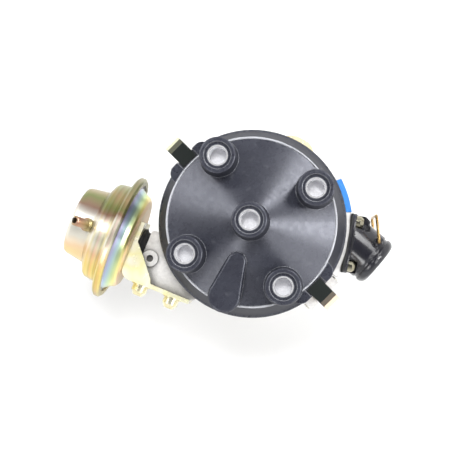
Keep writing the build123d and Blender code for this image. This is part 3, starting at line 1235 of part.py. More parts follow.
diaphragm = turned(
    [(radius, out) for out, radius in (
        (0, rim - SHEET - 0.1), (DIAPHRAGM_THICKNESS, rim - SHEET - 0.1), (DIAPHRAGM_THICKNESS, rim - 5.2),
        (cup_level, dish + 4), (cup_level, link_hole), (cup_level - DIAPHRAGM_THICKNESS, link_hole),
        (cup_level - DIAPHRAGM_THICKNESS, dish + 4.3), (0, rim - 4.9),
    )],
    plane=can_plane, axis=can_axis,
)
diaphragm_cup = turned(
    [(radius, out) for out, radius in (
        (cup_level, link_hole), (cup_level, dish), (cup_level + 2.2, dish), (cup_level + 2.2, dish - SHEET),
        (cup_level + SHEET, dish - SHEET), (cup_level + SHEET, link_hole),
    )],
    plane=can_plane, axis=can_axis,
)
spring_inset = SHEET + DIAPHRAGM_SPRING_WIRE / 2 + 0.1
spring_start = cup_level + spring_inset
diaphragm_spring = coil(
    can_centre + vac_out * spring_start, vac_out, CAN_CUP_HEIGHT - spring_inset - spring_start,
    DIAPHRAGM_SPRING_RADIUS, DIAPHRAGM_SPRING_WIRE, DIAPHRAGM_SPRING_TURNS,
)

rod_head = cup_level + SHEET
with BuildPart() as link_rod:
    with BuildSketch(facing(can_centre + vac_out * (rod_head - 2.2), vac_out)):
        Circle(link_hole - SEAT_GAP)
    extrude(amount=2.2)
    with BuildSketch(facing(can_centre + vac_out * rod_head, vac_out)):
        Circle(link_hole + 1.2)
    extrude(amount=0.8)
    with BuildSketch(facing(can_centre + vac_out * (rod_head - 2.2), vac_out)):
        Circle(LINK_ROD_RADIUS)
    extrude(amount=-(CAN_REACH + rod_head - 2.2 - 8))
    with BuildSketch(vac_plane(link_underside)):
        with Locations((4, LINK_OFFSET)):
            SlotOverall(LINK_END_LENGTH, LINK_END_WIDTH)
    extrude(amount=LINK_END_THICKNESS)
    with BuildSketch(vac_plane(link_underside)):
        with Locations((-LINK_TRAVEL / 2, LINK_OFFSET)):
            Circle(LINK_PIN_RADIUS + LINK_PIN_GAP)
    extrude(amount=LINK_END_THICKNESS, mode=Mode.SUBTRACT)

# folded bracket: end leg on the inner shell, top gusset and long web along the arm
leg_face = CAN_REACH - CAN_DISH_DEPTH
web_inner = arm_face
web_outer = arm_face + BRACKET_SHEET
bracket_low = VAC_LEVEL - BRACKET_HEIGHT / 2
web_end = bracket_screw_reaches[0] - 9
leg_start = LINK_OFFSET - BRACKET_HEIGHT / 2
corner_round = 4.5
with BuildPart() as vacuum_bracket:
    with BuildSketch(vac_plane(bracket_low)) as leg_and_web:
        with Locations((leg_face - BRACKET_SHEET / 2, (leg_start + web_outer) / 2)):
            Rectangle(BRACKET_SHEET, web_outer - leg_start)
        with Locations(((leg_face + web_end) / 2, (web_inner + web_outer) / 2)):
            Rectangle(leg_face - web_end, BRACKET_SHEET)
        fillet(leg_and_web.vertices().sort_by_distance((leg_face, web_outer, 0))[0], corner_round)
        inner_corner = (leg_face - BRACKET_SHEET, web_inner, 0)
        fillet(leg_and_web.vertices().sort_by_distance(inner_corner)[0], corner_round - BRACKET_SHEET)
    extrude(amount=BRACKET_HEIGHT)
    with BuildSketch(vac_plane(bracket_low + BRACKET_HEIGHT - BRACKET_SHEET)) as gusset:
        with BuildLine():
            Polyline(
                (leg_face, LINK_OFFSET - 1.4),
                (leg_face - 1.5, LINK_OFFSET - 2.0),
                (leg_face - 7.4, LINK_OFFSET + 4.4),
                (leg_face - 14.2, web_inner - 2.4),
                (leg_face - 16.0, web_outer),
                (leg_face, web_outer),
                close=True,
            )
        make_face()
        fillet(gusset.vertices().sort_by_distance((leg_face, web_outer, 0))[0], corner_round)
    extrude(amount=BRACKET_SHEET)
    with BuildSketch(facing(can_centre - vac_out * CAN_DISH_DEPTH, vac_out)):
        Circle(rod_bore)
    extrude(amount=-BRACKET_SHEET, mode=Mode.SUBTRACT)
    screw_face = facing(vac_side * web_outer + Vector(0, 0, VAC_LEVEL), vac_side)
    with BuildSketch(screw_face):
        with Locations(*[(-reach, 0) for reach in bracket_screw_reaches]):
            Circle(BRACKET_SCREW_RADIUS + LOOSE_GAP)
    extrude(amount=-BRACKET_SHEET, mode=Mode.SUBTRACT)

washer_face = web_outer + WASHER_THICKNESS
with BuildPart() as bracket_washers:
    with BuildSketch(screw_face):
        with Locations(*[(-reach, 0) for reach in bracket_screw_reaches]):
            Circle(BRACKET_WASHER)
            Circle(BRACKET_SCREW_RADIUS + RUNNING_GAP, mode=Mode.SUBTRACT)
    extrude(amount=WASHER_THICKNESS)
bracket_screws = screws(
    [facing(vac_out * reach + vac_side * washer_face + Vector(0, 0, VAC_LEVEL), vac_side)
     for reach in bracket_screw_reaches],
    BRACKET_SCREW_RADIUS, BRACKET_SHEET + WASHER_THICKNESS + BRACKET_SCREW_DEPTH - ROOT,
    BRACKET_SCREW_HEAD, BRACKET_SCREW_HEIGHT, slot=1.0,
)
boot_face = leg_face - BRACKET_SHEET - CAN_REACH
boot_end = arm_reach - CAN_REACH
boot_bore = LINK_ROD_RADIUS + 0.1
rod_boot = turned(
    [(radius, out) for out, radius in (
        (boot_face, boot_bore), (boot_face, BOOT_RADIUS - 0.5), (boot_face - 0.3 * BOOT_GAP, BOOT_RADIUS),
        ((boot_face + boot_end) / 2, BOOT_RADIUS - 1.1), (boot_end, BOOT_RADIUS - 1.9),
        (boot_end, rod_bore - SEAT_GAP), (boot_end - BOOT_PLUG, rod_bore - SEAT_GAP),
        (boot_end - BOOT_PLUG, boot_bore),
    )],
    plane=can_plane, axis=can_axis,
)

# ------------------------------------------------------------------ harness connector
flange_back = flat.offset(GASKET_THICKNESS)
flange_front = flange_back.offset(CONNECTOR_FLANGE)
socket_way = heading(SOCKET_HEADING)
socket_side = heading(SOCKET_HEADING + 90)
elbow_root = flat.origin + connector_out * ELBOW_REACH
barrel_plane = Plane(origin=elbow_root, x_dir=socket_way, z_dir=socket_way.cross(Vector(0, 0, 1)))
socket_floor = SHROUD_REACH - SOCKET_DEPTH
elbow_block = (CONNECTOR_WIDTH - ROOT, CONNECTOR_HEIGHT - 3 * ROOT)
barrel_start = -0.75 * BARREL_RADIUS
screw_hole = CONNECTOR_SCREW_RADIUS + 0.1
bail_pivot = elbow_root + socket_way * BAIL_PIVOT[0] + socket_side * BAIL_PIVOT[1]
lug_reach = BARREL_RADIUS + 0.4

with BuildPart() as connector_gasket:
    with BuildSketch(flat):
        RectangleRounded(CONNECTOR_WIDTH, CONNECTOR_HEIGHT, CONNECTOR_CORNER)
        Circle(CABLE_HOLE_RADIUS, mode=Mode.SUBTRACT)
        with GridLocations(*CONNECTOR_SCREW_SPACING, 2, 2):
            Circle(screw_hole, mode=Mode.SUBTRACT)
    extrude(amount=GASKET_THICKNESS)

with BuildPart() as connector_body:
    # grooved barrel with a rounded mouth, carried back through the flange
    with BuildSketch(barrel_plane) as barrel:
        with BuildLine():
            Polyline(
                (barrel_start, 0),
                (barrel_start, BARREL_RADIUS),
                (GROOVE_PLACE - GROOVE_WIDTH, BARREL_RADIUS),
                (GROOVE_PLACE - GROOVE_WIDTH / 2, BARREL_RADIUS - GROOVE_DEPTH),
                (GROOVE_PLACE + GROOVE_WIDTH / 2, BARREL_RADIUS - GROOVE_DEPTH),
                (GROOVE_PLACE + GROOVE_WIDTH, BARREL_RADIUS),
                (SHROUD_REACH, BARREL_RADIUS),
                (SHROUD_REACH, 0),
                close=True,
            )
        make_face()
        fillet(barrel.vertices().sort_by_distance((SHROUD_REACH, BARREL_RADIUS, 0))[0], BARREL_ROUND)
    revolve(axis=Axis(elbow_root, socket_way))
    # block that the barrel grows out of, on the flange
    with BuildSketch(flange_front):
        RectangleRounded(*elbow_block, CONNECTOR_CORNER)
    extrude(amount=ELBOW_BLOCK_DEPTH - ELBOW_BLOCK_ROUND)
    with BuildSketch(flange_front.offset(ELBOW_BLOCK_DEPTH - ELBOW_BLOCK_ROUND)):
        RectangleRounded(*elbow_block, CONNECTOR_CORNER)
    extrude(amount=ELBOW_BLOCK_ROUND, taper=35)
    with BuildSketch(flange_front):
        with Locations(((ELBOW_CHEEK_WIDTH - elbow_block[0]) / 2, 0)):
            RectangleRounded(ELBOW_CHEEK_WIDTH, ELBOW_CHEEK_HEIGHT, CONNECTOR_CORNER)
    extrude(amount=ELBOW_BLOCK_DEPTH - ELBOW_BLOCK_ROUND)
    # lugs above and below for the wire bail
    with BuildSketch(Plane(origin=bail_pivot)):
        Circle(BAIL_LUG_RADIUS)
    extrude(amount=lug_reach, both=True)
    with BuildSketch(flange_front):
        Rectangle(4 * BARREL_RADIUS, 4 * BARREL_RADIUS)
    extrude(amount=-2 * BARREL_RADIUS, mode=Mode.SUBTRACT)
    # pockets over the screw heads: two end under the elbow, two are open to the front
    with BuildSketch(flange_front):
        with GridLocations(*CONNECTOR_SCREW_SPACING, 2, 2):
            Circle(CONNECTOR_HEAD_RADIUS + 2 * LOOSE_GAP)
    extrude(amount=SCREW_POCKET_DEPTH, mode=Mode.SUBTRACT)
    with BuildSketch(flange_front):
        with Locations((CONNECTOR_SCREW_SPACING[0] / 2, 0)):
            with GridLocations(0, CONNECTOR_SCREW_SPACING[1], 1, 2):
                Circle(CONNECTOR_HEAD_RADIUS + 2 * LOOSE_GAP)
    extrude(amount=ELBOW_BLOCK_DEPTH, mode=Mode.SUBTRACT)
    with BuildSketch(flange_back):
        RectangleRounded(CONNECTOR_WIDTH, CONNECTOR_HEIGHT, CONNECTOR_CORNER)
        with GridLocations(*CONNECTOR_SCREW_SPACING, 2, 2):
            Circle(screw_hole, mode=Mode.SUBTRACT)
    extrude(amount=CONNECTOR_FLANGE)
    with BuildSketch(Plane(origin=bail_pivot)):
        Circle(BAIL_WIRE + RUNNING_GAP)
    extrude(amount=lug_reach + 1, both=True, mode=Mode.SUBTRACT)
    with BuildSketch(facing(elbow_root + socket_way * SHROUD_REACH, socket_way)):
        Circle(SOCKET_RADIUS)
    extrude(amount=-SOCKET_DEPTH, mode=Mode.SUBTRACT)
    with BuildSketch(facing(elbow_root + socket_way * socket_floor, socket_way)):
        with GridLocations(CONNECTOR_PIN_PITCH, 0, CONNECTOR_PIN_COUNT, 1):
            Circle(CONNECTOR_PIN_RADIUS + SEAT_GAP)
    extrude(amount=-CONNECTOR_PIN_ROOT, mode=Mode.SUBTRACT)

with BuildPart() as connector_pins:
    with BuildSketch(facing(elbow_root + socket_way * (socket_floor - CONNECTOR_PIN_ROOT), socket_way)):
        with GridLocations(CONNECTOR_PIN_PITCH, 0, CONNECTOR_PIN_COUNT, 1):
            Circle(CONNECTOR_PIN_RADIUS)
    extrude(amount=CONNECTOR_PIN_ROOT + CONNECTOR_PIN_STANDOUT)
    chamfer(connector_pins.faces().sort_by(Axis(elbow_root, socket_way))[-CONNECTOR_PIN_COUNT:].edges(), 0.3)

connector_screws = screws(
    [Plane(origin=flange_front.from_local_coords((across, up, 0)), z_dir=connector_out)
     for across in (-CONNECTOR_SCREW_SPACING[0] / 2, CONNECTOR_SCREW_SPACING[0] / 2)
     for up in (-CONNECTOR_SCREW_SPACING[1] / 2, CONNECTOR_SCREW_SPACING[1] / 2)],
    CONNECTOR_SCREW_RADIUS - SEAT_GAP, CONNECTOR_FLANGE + GASKET_THICKNESS + CONNECTOR_SCREW_DEPTH - ROOT,
    CONNECTOR_HEAD_RADIUS, CONNECTOR_HEAD_HEIGHT, slot=0.8,
)

# wire bail: two ends in the lugs, two arms and a cross bar
bail_bar = elbow_root + socket_way * BAIL_BAR[0] + socket_side * BAIL_BAR[1]
bail_level = Vector(0, 0, lug_reach + BAIL_BEND)
bail_inset = Vector(0, 0, lug_reach - BAIL_ENGAGEMENT)
with BuildPart() as wire_bail:
    with BuildLine():
        bail_path = FilletPolyline(
            bail_pivot - bail_inset, bail_pivot - bail_level, bail_bar - bail_level,
            bail_bar + bail_level, bail_pivot + bail_level, bail_pivot + bail_inset,
            radius=BAIL_BEND,
        )
    with BuildSketch(Plane(origin=bail_path @ 0, z_dir=bail_path % 0)):
        Circle(BAIL_WIRE)
    sweep()

# plain plate stuck on the sloping crest of the pad
crest = Vector(pad_radius, pad_shoulder)
crest_run = Vector(pad_crest_radius, pad_crest) - crest
crest_way = crest_run.normalized()
crest_out = Vector(crest_way.Y, -crest_way.X)
label_low = crest + crest_way * LABEL_MARGIN + crest_out * SEAT_GAP
label_high = crest + crest_way * (crest_run.length - LABEL_MARGIN) + crest_out * SEAT_GAP
label_skin = crest_out * LABEL_THICKNESS
label_corners = (label_low, label_high, label_high + label_skin, label_low + label_skin)
blank_label = turned(
    [(corner.X, corner.Y) for corner in label_corners],
    plane=side_plane(LABEL_START), arc=LABEL_SWEEP,
)

# ------------------------------------------------------------------ mounting plate
ear_arc = CenterArc((0, 0), EAR_PITCH, EAR_ANGLE - EAR_HALF_TRAVEL, 2 * EAR_HALF_TRAVEL)
plate_hole = PLATE_SCREW_RADIUS + LOOSE_GAP
with BuildPart() as mounting_plate:
    with BuildSketch() as plate_outline:
        Circle(PLATE_RADIUS)
        SlotArc(ear_arc, EAR_WIDTH)
        with Locations(Location(heading(EAR_ANGLE) * EAR_PITCH / 2, (0, 0, EAR_ANGLE))):
            Rectangle(EAR_PITCH, EAR_WIDTH + 2 * EAR_PITCH * sin(radians(EAR_HALF_TRAVEL)))
        SlotArc(ear_arc, SLOT_WIDTH, mode=Mode.SUBTRACT)
        Circle(spigot_radius + SEAT_GAP, mode=Mode.SUBTRACT)
        with PolarLocations(plate_screw_pitch, 2, start_angle=EAR_ANGLE + 90):
            Circle(plate_hole, mode=Mode.SUBTRACT)
    extrude(amount=PLATE_THICKNESS)
    with PolarLocations(plate_screw_pitch, 2, start_angle=EAR_ANGLE + 90):
        Cone(plate_hole + PLATE_SCREW_SINK, plate_hole, PLATE_SCREW_SINK, mode=Mode.SUBTRACT,
             align=(Align.CENTER, Align.CENTER, Align.MIN))

with BuildPart() as plate_screws:
    with PolarLocations(plate_screw_pitch, 2, start_angle=EAR_ANGLE + 90):
        Cone(PLATE_SCREW_RADIUS + PLATE_SCREW_SINK, PLATE_SCREW_RADIUS, PLATE_SCREW_SINK,
             align=(Align.CENTER, Align.CENTER, Align.MIN))
        Cylinder(PLATE_SCREW_RADIUS, PLATE_THICKNESS + COLLAR_HEIGHT - 2 * ROOT,
                 align=(Align.CENTER, Align.CENTER, Align.MIN))

# ------------------------------------------------------------------ hand over
pieces = {
    "housing": housing,
    "mounting_plate": mounting_plate,
    "plate_screws": plate_screws,
    "shank_o_ring": shank_o_ring,
    "shaft_bushes": shaft_bushes,
    "cap": cap,
    "outer_terminals": outer_terminals,
    "centre_terminal": centre_terminal,
    "carbon_brush": carbon_brush,
    "brush_spring": brush_spring,
    "cap_seal": cap_seal,
    "dust_cover": dust_cover,
    "clip_upper_left": clip_upper_left,
    "clip_lower_right": clip_lower_right,
    "clip_pins": clip_pins,
    "main_shaft": main_shaft,
    "drive_gear": drive_gear,
    "gear_pin": gear_pin,
    "upper_thrust_washer": upper_thrust_washer,
    "lower_thrust_washer": lower_thrust_washer,
    "governor_plate": governor_plate,
    "weight_pins": weight_pins,
    "governor_weight_front": governor_weight_front,
    "governor_weight_rear": governor_weight_rear,
    "governor_spring_front": governor_spring_front,
    "governor_spring_rear": governor_spring_rear,
    "cam_sleeve": cam_sleeve,
    "sleeve_washer": sleeve_washer,
    "sleeve_screw": sleeve_screw,
    "reluctor": reluctor,
    "reluctor_pin": reluctor_pin,
    "rotor_arm": rotor_arm,
    "rotor_electrode": rotor_electrode,
    "rotor_contact_strip": rotor_contact_strip,
    "pickup_base_plate": pickup_base_plate,
    "base_plate_screws": base_plate_screws,
    "plate_snap_ring": plate_snap_ring,
    "breaker_plate": breaker_plate,
    "link_pin": link_pin,
    "pole_piece": pole_piece,
    "pickup_coil": pickup_coil,
    "pickup_magnet": pickup_magnet,
    "pickup_screws": pickup_screws,
    "vacuum_outer_shell": vacuum_outer_shell,
    "hose_nipple": hose_nipple,
    "vacuum_inner_shell": vacuum_inner_shell,
    "diaphragm": diaphragm,
    "diaphragm_cup": diaphragm_cup,
    "diaphragm_spring": diaphragm_spring,
    "link_rod": link_rod,
    "vacuum_bracket": vacuum_bracket,
    "bracket_washers": bracket_washers,
    "bracket_screws": bracket_screws,
    "rod_boot": rod_boot,
    "connector_gasket": connector_gasket,
    "connector_body": connector_body,
    "connector_pins": connector_pins,
    "connector_screws": connector_screws,
    "wire_bail": wire_bail,
    "blank_label": blank_label,
}
for name, piece in pieces.items():
    write(piece, name)
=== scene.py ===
import math

import bpy
import json
from mathutils import Matrix, Vector


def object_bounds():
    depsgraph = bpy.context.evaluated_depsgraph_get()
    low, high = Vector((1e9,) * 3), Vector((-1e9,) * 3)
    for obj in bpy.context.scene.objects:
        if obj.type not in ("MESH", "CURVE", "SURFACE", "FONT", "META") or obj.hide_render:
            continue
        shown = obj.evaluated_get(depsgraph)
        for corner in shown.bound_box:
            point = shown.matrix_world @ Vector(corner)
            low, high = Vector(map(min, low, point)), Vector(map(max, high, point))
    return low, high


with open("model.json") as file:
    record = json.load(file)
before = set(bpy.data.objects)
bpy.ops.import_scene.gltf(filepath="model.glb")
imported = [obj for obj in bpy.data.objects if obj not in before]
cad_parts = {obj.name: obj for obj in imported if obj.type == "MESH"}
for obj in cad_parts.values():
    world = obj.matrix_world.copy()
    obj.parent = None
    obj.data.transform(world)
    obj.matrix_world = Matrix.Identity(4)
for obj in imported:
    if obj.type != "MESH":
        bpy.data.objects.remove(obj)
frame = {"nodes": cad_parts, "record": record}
cad_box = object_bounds()
nodes = frame["nodes"]

# ------------------------------------------------------------------ places, in metres and degrees
UP = Vector((0, 0, 1))
VACUUM_HEADING = 157.7       # from the shaft to the canister, measured from +X
CUP_LENGTH = 0.0135          # plain end of the canister's outer shell, without rings
BEAD_INNER = 0.0380          # radii of the bead round the cap's dome, painted pale as a highlight
BEAD_OUTER = 0.0391
BEAD_TOP = 0.0692            # height of that bead
BEAD_BLUR = 0.0001           # soft edge of the painted highlight on it
CUP_WALL_SEEN = 0.0007       # depth at which a terminal's rim turns into its bore
CUP_BLUR = 0.0002            # soft edge of that turn


def heading(angle):
    """Level direction at an angle from +X, in degrees."""
    return Vector((math.cos(math.radians(angle)), math.sin(math.radians(angle)), 0))


def extent(node, way):
    """Least and greatest distance of a CAD node along a direction."""
    thing = nodes[node]
    places = [(thing.matrix_world @ point.co).dot(way) for point in thing.data.vertices]
    return min(places), max(places)


def spread_over(node, way):
    """Bands per metre and start that run a film once over a node along a direction."""
    low, high = extent(node, way)
    return 1 / (high - low), -low / (high - low)


vacuum_way = heading(VACUUM_HEADING)
can_across = heading(VACUUM_HEADING + 90)
ring_end = extent("vacuum_outer_shell", vacuum_way)[1] - CUP_LENGTH


# ------------------------------------------------------------------ node helpers
def new_material(name):
    """Empty node material: returns the material, its tree and its shader."""
    made = bpy.data.materials.new(name)
    made.use_nodes = True
    tree = made.node_tree
    tree.nodes.clear()
    output = tree.nodes.new("ShaderNodeOutputMaterial")
    shader = tree.nodes.new("ShaderNodeBsdfPrincipled")
    tree.links.new(shader.outputs["BSDF"], output.inputs["Surface"])
    return made, tree, shader


def add(tree, kind, values=(), **settings):
    """Adds a node, sets its properties and its unlinked inputs."""
    node = tree.nodes.new(kind)
    for key, value in settings.items():
        setattr(node, key, value)
    for key, value in values:
        node.inputs[key].default_value = value
    return node


def maths(tree, operation, *values):
    """Math node on values that are sockets or numbers."""
    node = add(tree, "ShaderNodeMath", operation=operation)
    for place, value in enumerate(values):
        if isinstance(value, (int, float)):
            node.inputs[place].default_value = value
        else:
            tree.links.new(value, node.inputs[place])
    return node.outputs["Value"]


def product(tree, first, second):
    """First value times the second."""
    return maths(tree, "MULTIPLY", first, second)


def opposite(tree, share):
    """1 minus a share."""
    return maths(tree, "SUBTRACT", 1.0, share)


def ramp(tree, source, stops):
    """Colour ramp on a value: stops are (place, colour)."""
    node = tree.nodes.new("ShaderNodeValToRGB")
    elements = node.color_ramp.elements
    while len(elements) < len(stops):
        elements.new(0.5)
    for element, (place, colour) in zip(elements, stops):
        element.position = place
        element.color = (*colour, 1)
    tree.links.new(source, node.inputs["Fac"])
    return node.outputs["Color"]


def step(tree, source, start, end):
    """Goes smoothly from 0 to 1 between two values."""
    node = add(tree, "ShaderNodeMapRange", [("From Min", start), ("From Max", end)],
               interpolation_type="SMOOTHSTEP")
    tree.links.new(source, node.inputs["Value"])
    return node.outputs["Result"]


def blend(tree, share, first, second, blend_type="MIX"):
    """Mixes two colours, each a socket or an RGB tuple."""
    node = add(tree, "ShaderNodeMix", data_type="RGBA", blend_type=blend_type)
    tree.links.new(share, node.inputs["Factor"])
    for place, value in ((6, first), (7, second)):
        if isinstance(value, tuple):
            node.inputs[place].default_value = (*value, 1)
        else:
            tree.links.new(value, node.inputs[place])
    return node.outputs[2]


def grey(value):
    """Grey as an RGB tuple."""
    return (value, value, value)


def spot(tree):
    """Place on the object in its own metres."""
    return tree.nodes.new("ShaderNodeTexCoord").outputs["Object"]


def noise(tree, scale, detail=4.0, rough=0.6, stretch=(1, 1, 1)):
    """Noise fixed to the object, with its scale per metre."""
    spread = add(tree, "ShaderNodeMapping", [("Scale", stretch)])
    tree.links.new(spot(tree), spread.inputs["Vector"])
    node = add(tree, "ShaderNodeTexNoise", [("Scale", scale), ("Detail", detail), ("Roughness", rough)])
    tree.links.new(spread.outputs["Vector"], node.inputs["Vector"])
    return node.outputs["Fac"]


def mottle(tree, scale, first, second, limits=(0.3, 0.7), **grain):
    """Two shades, given as greys or RGB tuples, mixed by a noise."""
    shades = [shade if isinstance(shade, tuple) else grey(shade) for shade in (first, second)]
    return ramp(tree, noise(tree, scale, **grain), list(zip(limits, shades)))


def along(tree, way):
    """Distance along a direction from the origin, in metres."""
    node = add(tree, "ShaderNodeVectorMath", operation="DOT_PRODUCT")
    tree.links.new(spot(tree), node.inputs[0])
    node.inputs[1].default_value = way
    return node.outputs["Value"]


def shaft_radius(tree):
    """Distance from the shaft's axis, in metres."""
    flat = add(tree, "ShaderNodeVectorMath", operation="MULTIPLY")
    tree.links.new(spot(tree), flat.inputs[0])
    flat.inputs[1].default_value = (1, 1, 0)
    size = add(tree, "ShaderNodeVectorMath", operation="LENGTH")
    tree.links.new(flat.outputs["Vector"], size.inputs[0])
    return size.outputs["Value"]


def upward(tree):
    """How much the surface faces up."""
    parts = tree.nodes.new("ShaderNodeSeparateXYZ")
    tree.links.new(tree.nodes.new("ShaderNodeTexCoord").outputs["Normal"], parts.inputs["Vector"])
    return parts.outputs["Z"]


def rounded_normal(tree, radius):
    """Normal that softens edges, as a small fillet would."""
    return add(tree, "ShaderNodeBevel", [("Radius", radius)], samples=6).outputs["Normal"]


EDGE_MASK_START = 0.02            # how far the rounded normal leaves the true one where the edge mask starts
EDGE_MASK_FULL = 0.16             # and where it is full


def sharp_edge_mask(tree, radius):
    """1 along sharp edges, where the rounded normal leaves the true one."""
    same = add(tree, "ShaderNodeVectorMath", operation="DOT_PRODUCT")
    tree.links.new(rounded_normal(tree, radius), same.inputs[0])
    tree.links.new(tree.nodes.new("ShaderNodeNewGeometry").outputs["Normal"], same.inputs[1])
    return step(tree, opposite(tree, same.outputs["Value"]), EDGE_MASK_START, EDGE_MASK_FULL)


def relief(tree, shader, grain, depth, edge):
    """Fine relief of a noise scale and depth, with softened edges where an edge radius is given."""
    bump = add(tree, "ShaderNodeBump", [("Strength", 1.0), ("Distance", depth)])
    tree.links.new(noise(tree, grain), bump.inputs["Height"])
    if edge:
        tree.links.new(rounded_normal(tree, edge), bump.inputs["Normal"])
    tree.links.new(bump.outputs["Normal"], shader.inputs["Normal"])


# ------------------------------------------------------------------ materials
# colour of the painted shade that darkens the castings' occluded corners
CORNER_SHADE = (0.05, 0.047, 0.045)
CORNER_SHADE_REACH = 0.005          # how far round a corner the painted shade reaches, in metres
ROUGHNESS_GRAIN = 2.3        # how much finer the roughness is mottled than the colour


def surface(name, dark, light, rough, metallic=0.0, scale=260, grain=2600, depth=0.00001, edge=0.0,
            specular=0.5, stretch=(1, 1, 1), corner_shade=0.0):
    """General material: two shades mottled together, varied roughness, fine relief and painted shade in
    corners.
    """
    made, tree, shader = new_material(name)
    body = mottle(tree, scale, dark, light, limits=(0.32, 0.68), stretch=stretch)
    if corner_shade:
        # ambient occlusion darkens the colour in corners and recesses: painted shade
        corner = add(tree, "ShaderNodeAmbientOcclusion", [("Distance", CORNER_SHADE_REACH)], samples=8)
        shaded_corners = product(tree, step(tree, corner.outputs["AO"], 0.95, 0.35), corner_shade)
        body = blend(tree, shaded_corners, body, CORNER_SHADE)
    tree.links.new(body, shader.inputs["Base Color"])
    tree.links.new(mottle(tree, scale * ROUGHNESS_GRAIN, *rough, stretch=stretch), shader.inputs["Roughness"])
    shader.inputs["Metallic"].default_value = metallic
    shader.inputs["Specular IOR Level"].default_value = specular
    relief(tree, shader, grain, depth, edge)
    return made


# colours of the zinc's film, in the order that they follow each other
yellow_film = [
    (0.84, 0.78, 0.46), (0.74, 0.66, 0.30), (0.80, 0.62, 0.44), (0.70, 0.56, 0.52), (0.58, 0.60, 0.64),
    (0.58, 0.70, 0.50), (0.80, 0.78, 0.36), (0.86, 0.68, 0.46), (0.84, 0.78, 0.46)]
rainbow_film = [
    (0.30, 0.27, 0.20), (0.74, 0.42, 0.44), (0.50, 0.44, 0.66), (0.46, 0.62, 0.70), (0.60, 0.76, 0.42),
    (0.92, 0.86, 0.34), (0.92, 0.64, 0.40), (0.30, 0.27, 0.20)]
pale_film = [
    (0.96, 0.94, 0.76), (0.94, 0.90, 0.50), (0.97, 0.95, 0.84), (0.88, 0.80, 0.48), (0.96, 0.94, 0.76)]
plate_film = [(0.88, 0.87, 0.54), (0.84, 0.80, 0.44), (0.76, 0.68, 0.48), (0.88, 0.87, 0.54)]
# the clips' zinc as a lit copy and a darker copy that is painted shade
shaded_clip_film = [(0.74, 0.74, 0.54), (0.66, 0.64, 0.40), (0.74, 0.74, 0.54)]
lit_clip_film = [(0.92, 0.78, 0.56), (0.88, 0.68, 0.50), (0.92, 0.78, 0.56)]
# darkened zinc of the connector's screws, standing for the shade in their pockets: painted shade
shaded_screw_film = [(0.52, 0.48, 0.34), (0.40, 0.38, 0.30), (0.52, 0.48, 0.34)]

# film that runs once over a piece: (share of the way, colour)
# canister's shell: film colours, with its olive and brown side darkened as painted shade and its near-white
# middle a painted highlight
shell_film_and_light_stops = [
    (0.00, (0.27, 0.27, 0.17)), (0.12, (0.33, 0.34, 0.20)), (0.21, (0.42, 0.34, 0.20)),
    (0.29, (0.26, 0.29, 0.12)), (0.355, (0.36, 0.23, 0.17)), (0.43, (0.93, 0.90, 0.82)),
    (0.60, (0.97, 0.93, 0.80)), (0.69, (0.94, 0.70, 0.44)), (0.84, (0.93, 0.76, 0.28)),
    (1.00, (0.50, 0.44, 0.24))]
# hose nipple: film colours, ending in a near-white tip that is a painted highlight
nipple_film_and_highlight_stops = [
    (0.00, (0.30, 0.27, 0.12)), (0.35, (0.46, 0.36, 0.18)), (0.60, (0.56, 0.32, 0.24)),
    (0.86, (0.50, 0.36, 0.20)), (0.93, (0.97, 0.96, 0.88)), (1.00, (0.97, 0.96, 0.88))]

# one drawn ring on the canister's steps: (share of its width, tint)
ring_stops = [
    (0.00, (1.0, 1.0, 1.0)), (0.22, (1.0, 0.96, 0.66)), (0.40, (0.66, 0.62, 0.42)),
    (0.52, (1.0, 0.98, 0.80)), (0.74, (1.0, 0.78, 0.74)), (0.86, (0.74, 0.70, 0.52)),
    (1.00, (1.0, 1.0, 1.0))]
RING_BANDS = 170.0           # these rings per metre of the canister's length
RING_STRENGTH = 0.75
RING_FADE = 0.001            # length over which they end, in metres

# colour of real stains, and also of the painted shade at grazing angles
STAIN_AND_SHADE = (0.36, 0.32, 0.17)
# colour of the painted reflection of the dark above, on level zinc tops
DARK_TOP_PAINT = (0.020, 0.023, 0.022)
DARK_TOP_METAL_LOSS = 0.8             # share of its metallic look that the painted dark top loses


def drawn_rings(tree, tint):
    """Tints the canister's steps with fine rings, and leaves its plain end."""
    place = along(tree, vacuum_way)
    stepped = opposite(tree, step(tree, place, ring_end - RING_FADE, ring_end))
    circles = ramp(tree, maths(tree, "FRACT", product(tree, place, RING_BANDS)), ring_stops)
    return blend(tree, product(tree, stepped, RING_STRENGTH), tint, circles, "MULTIPLY")


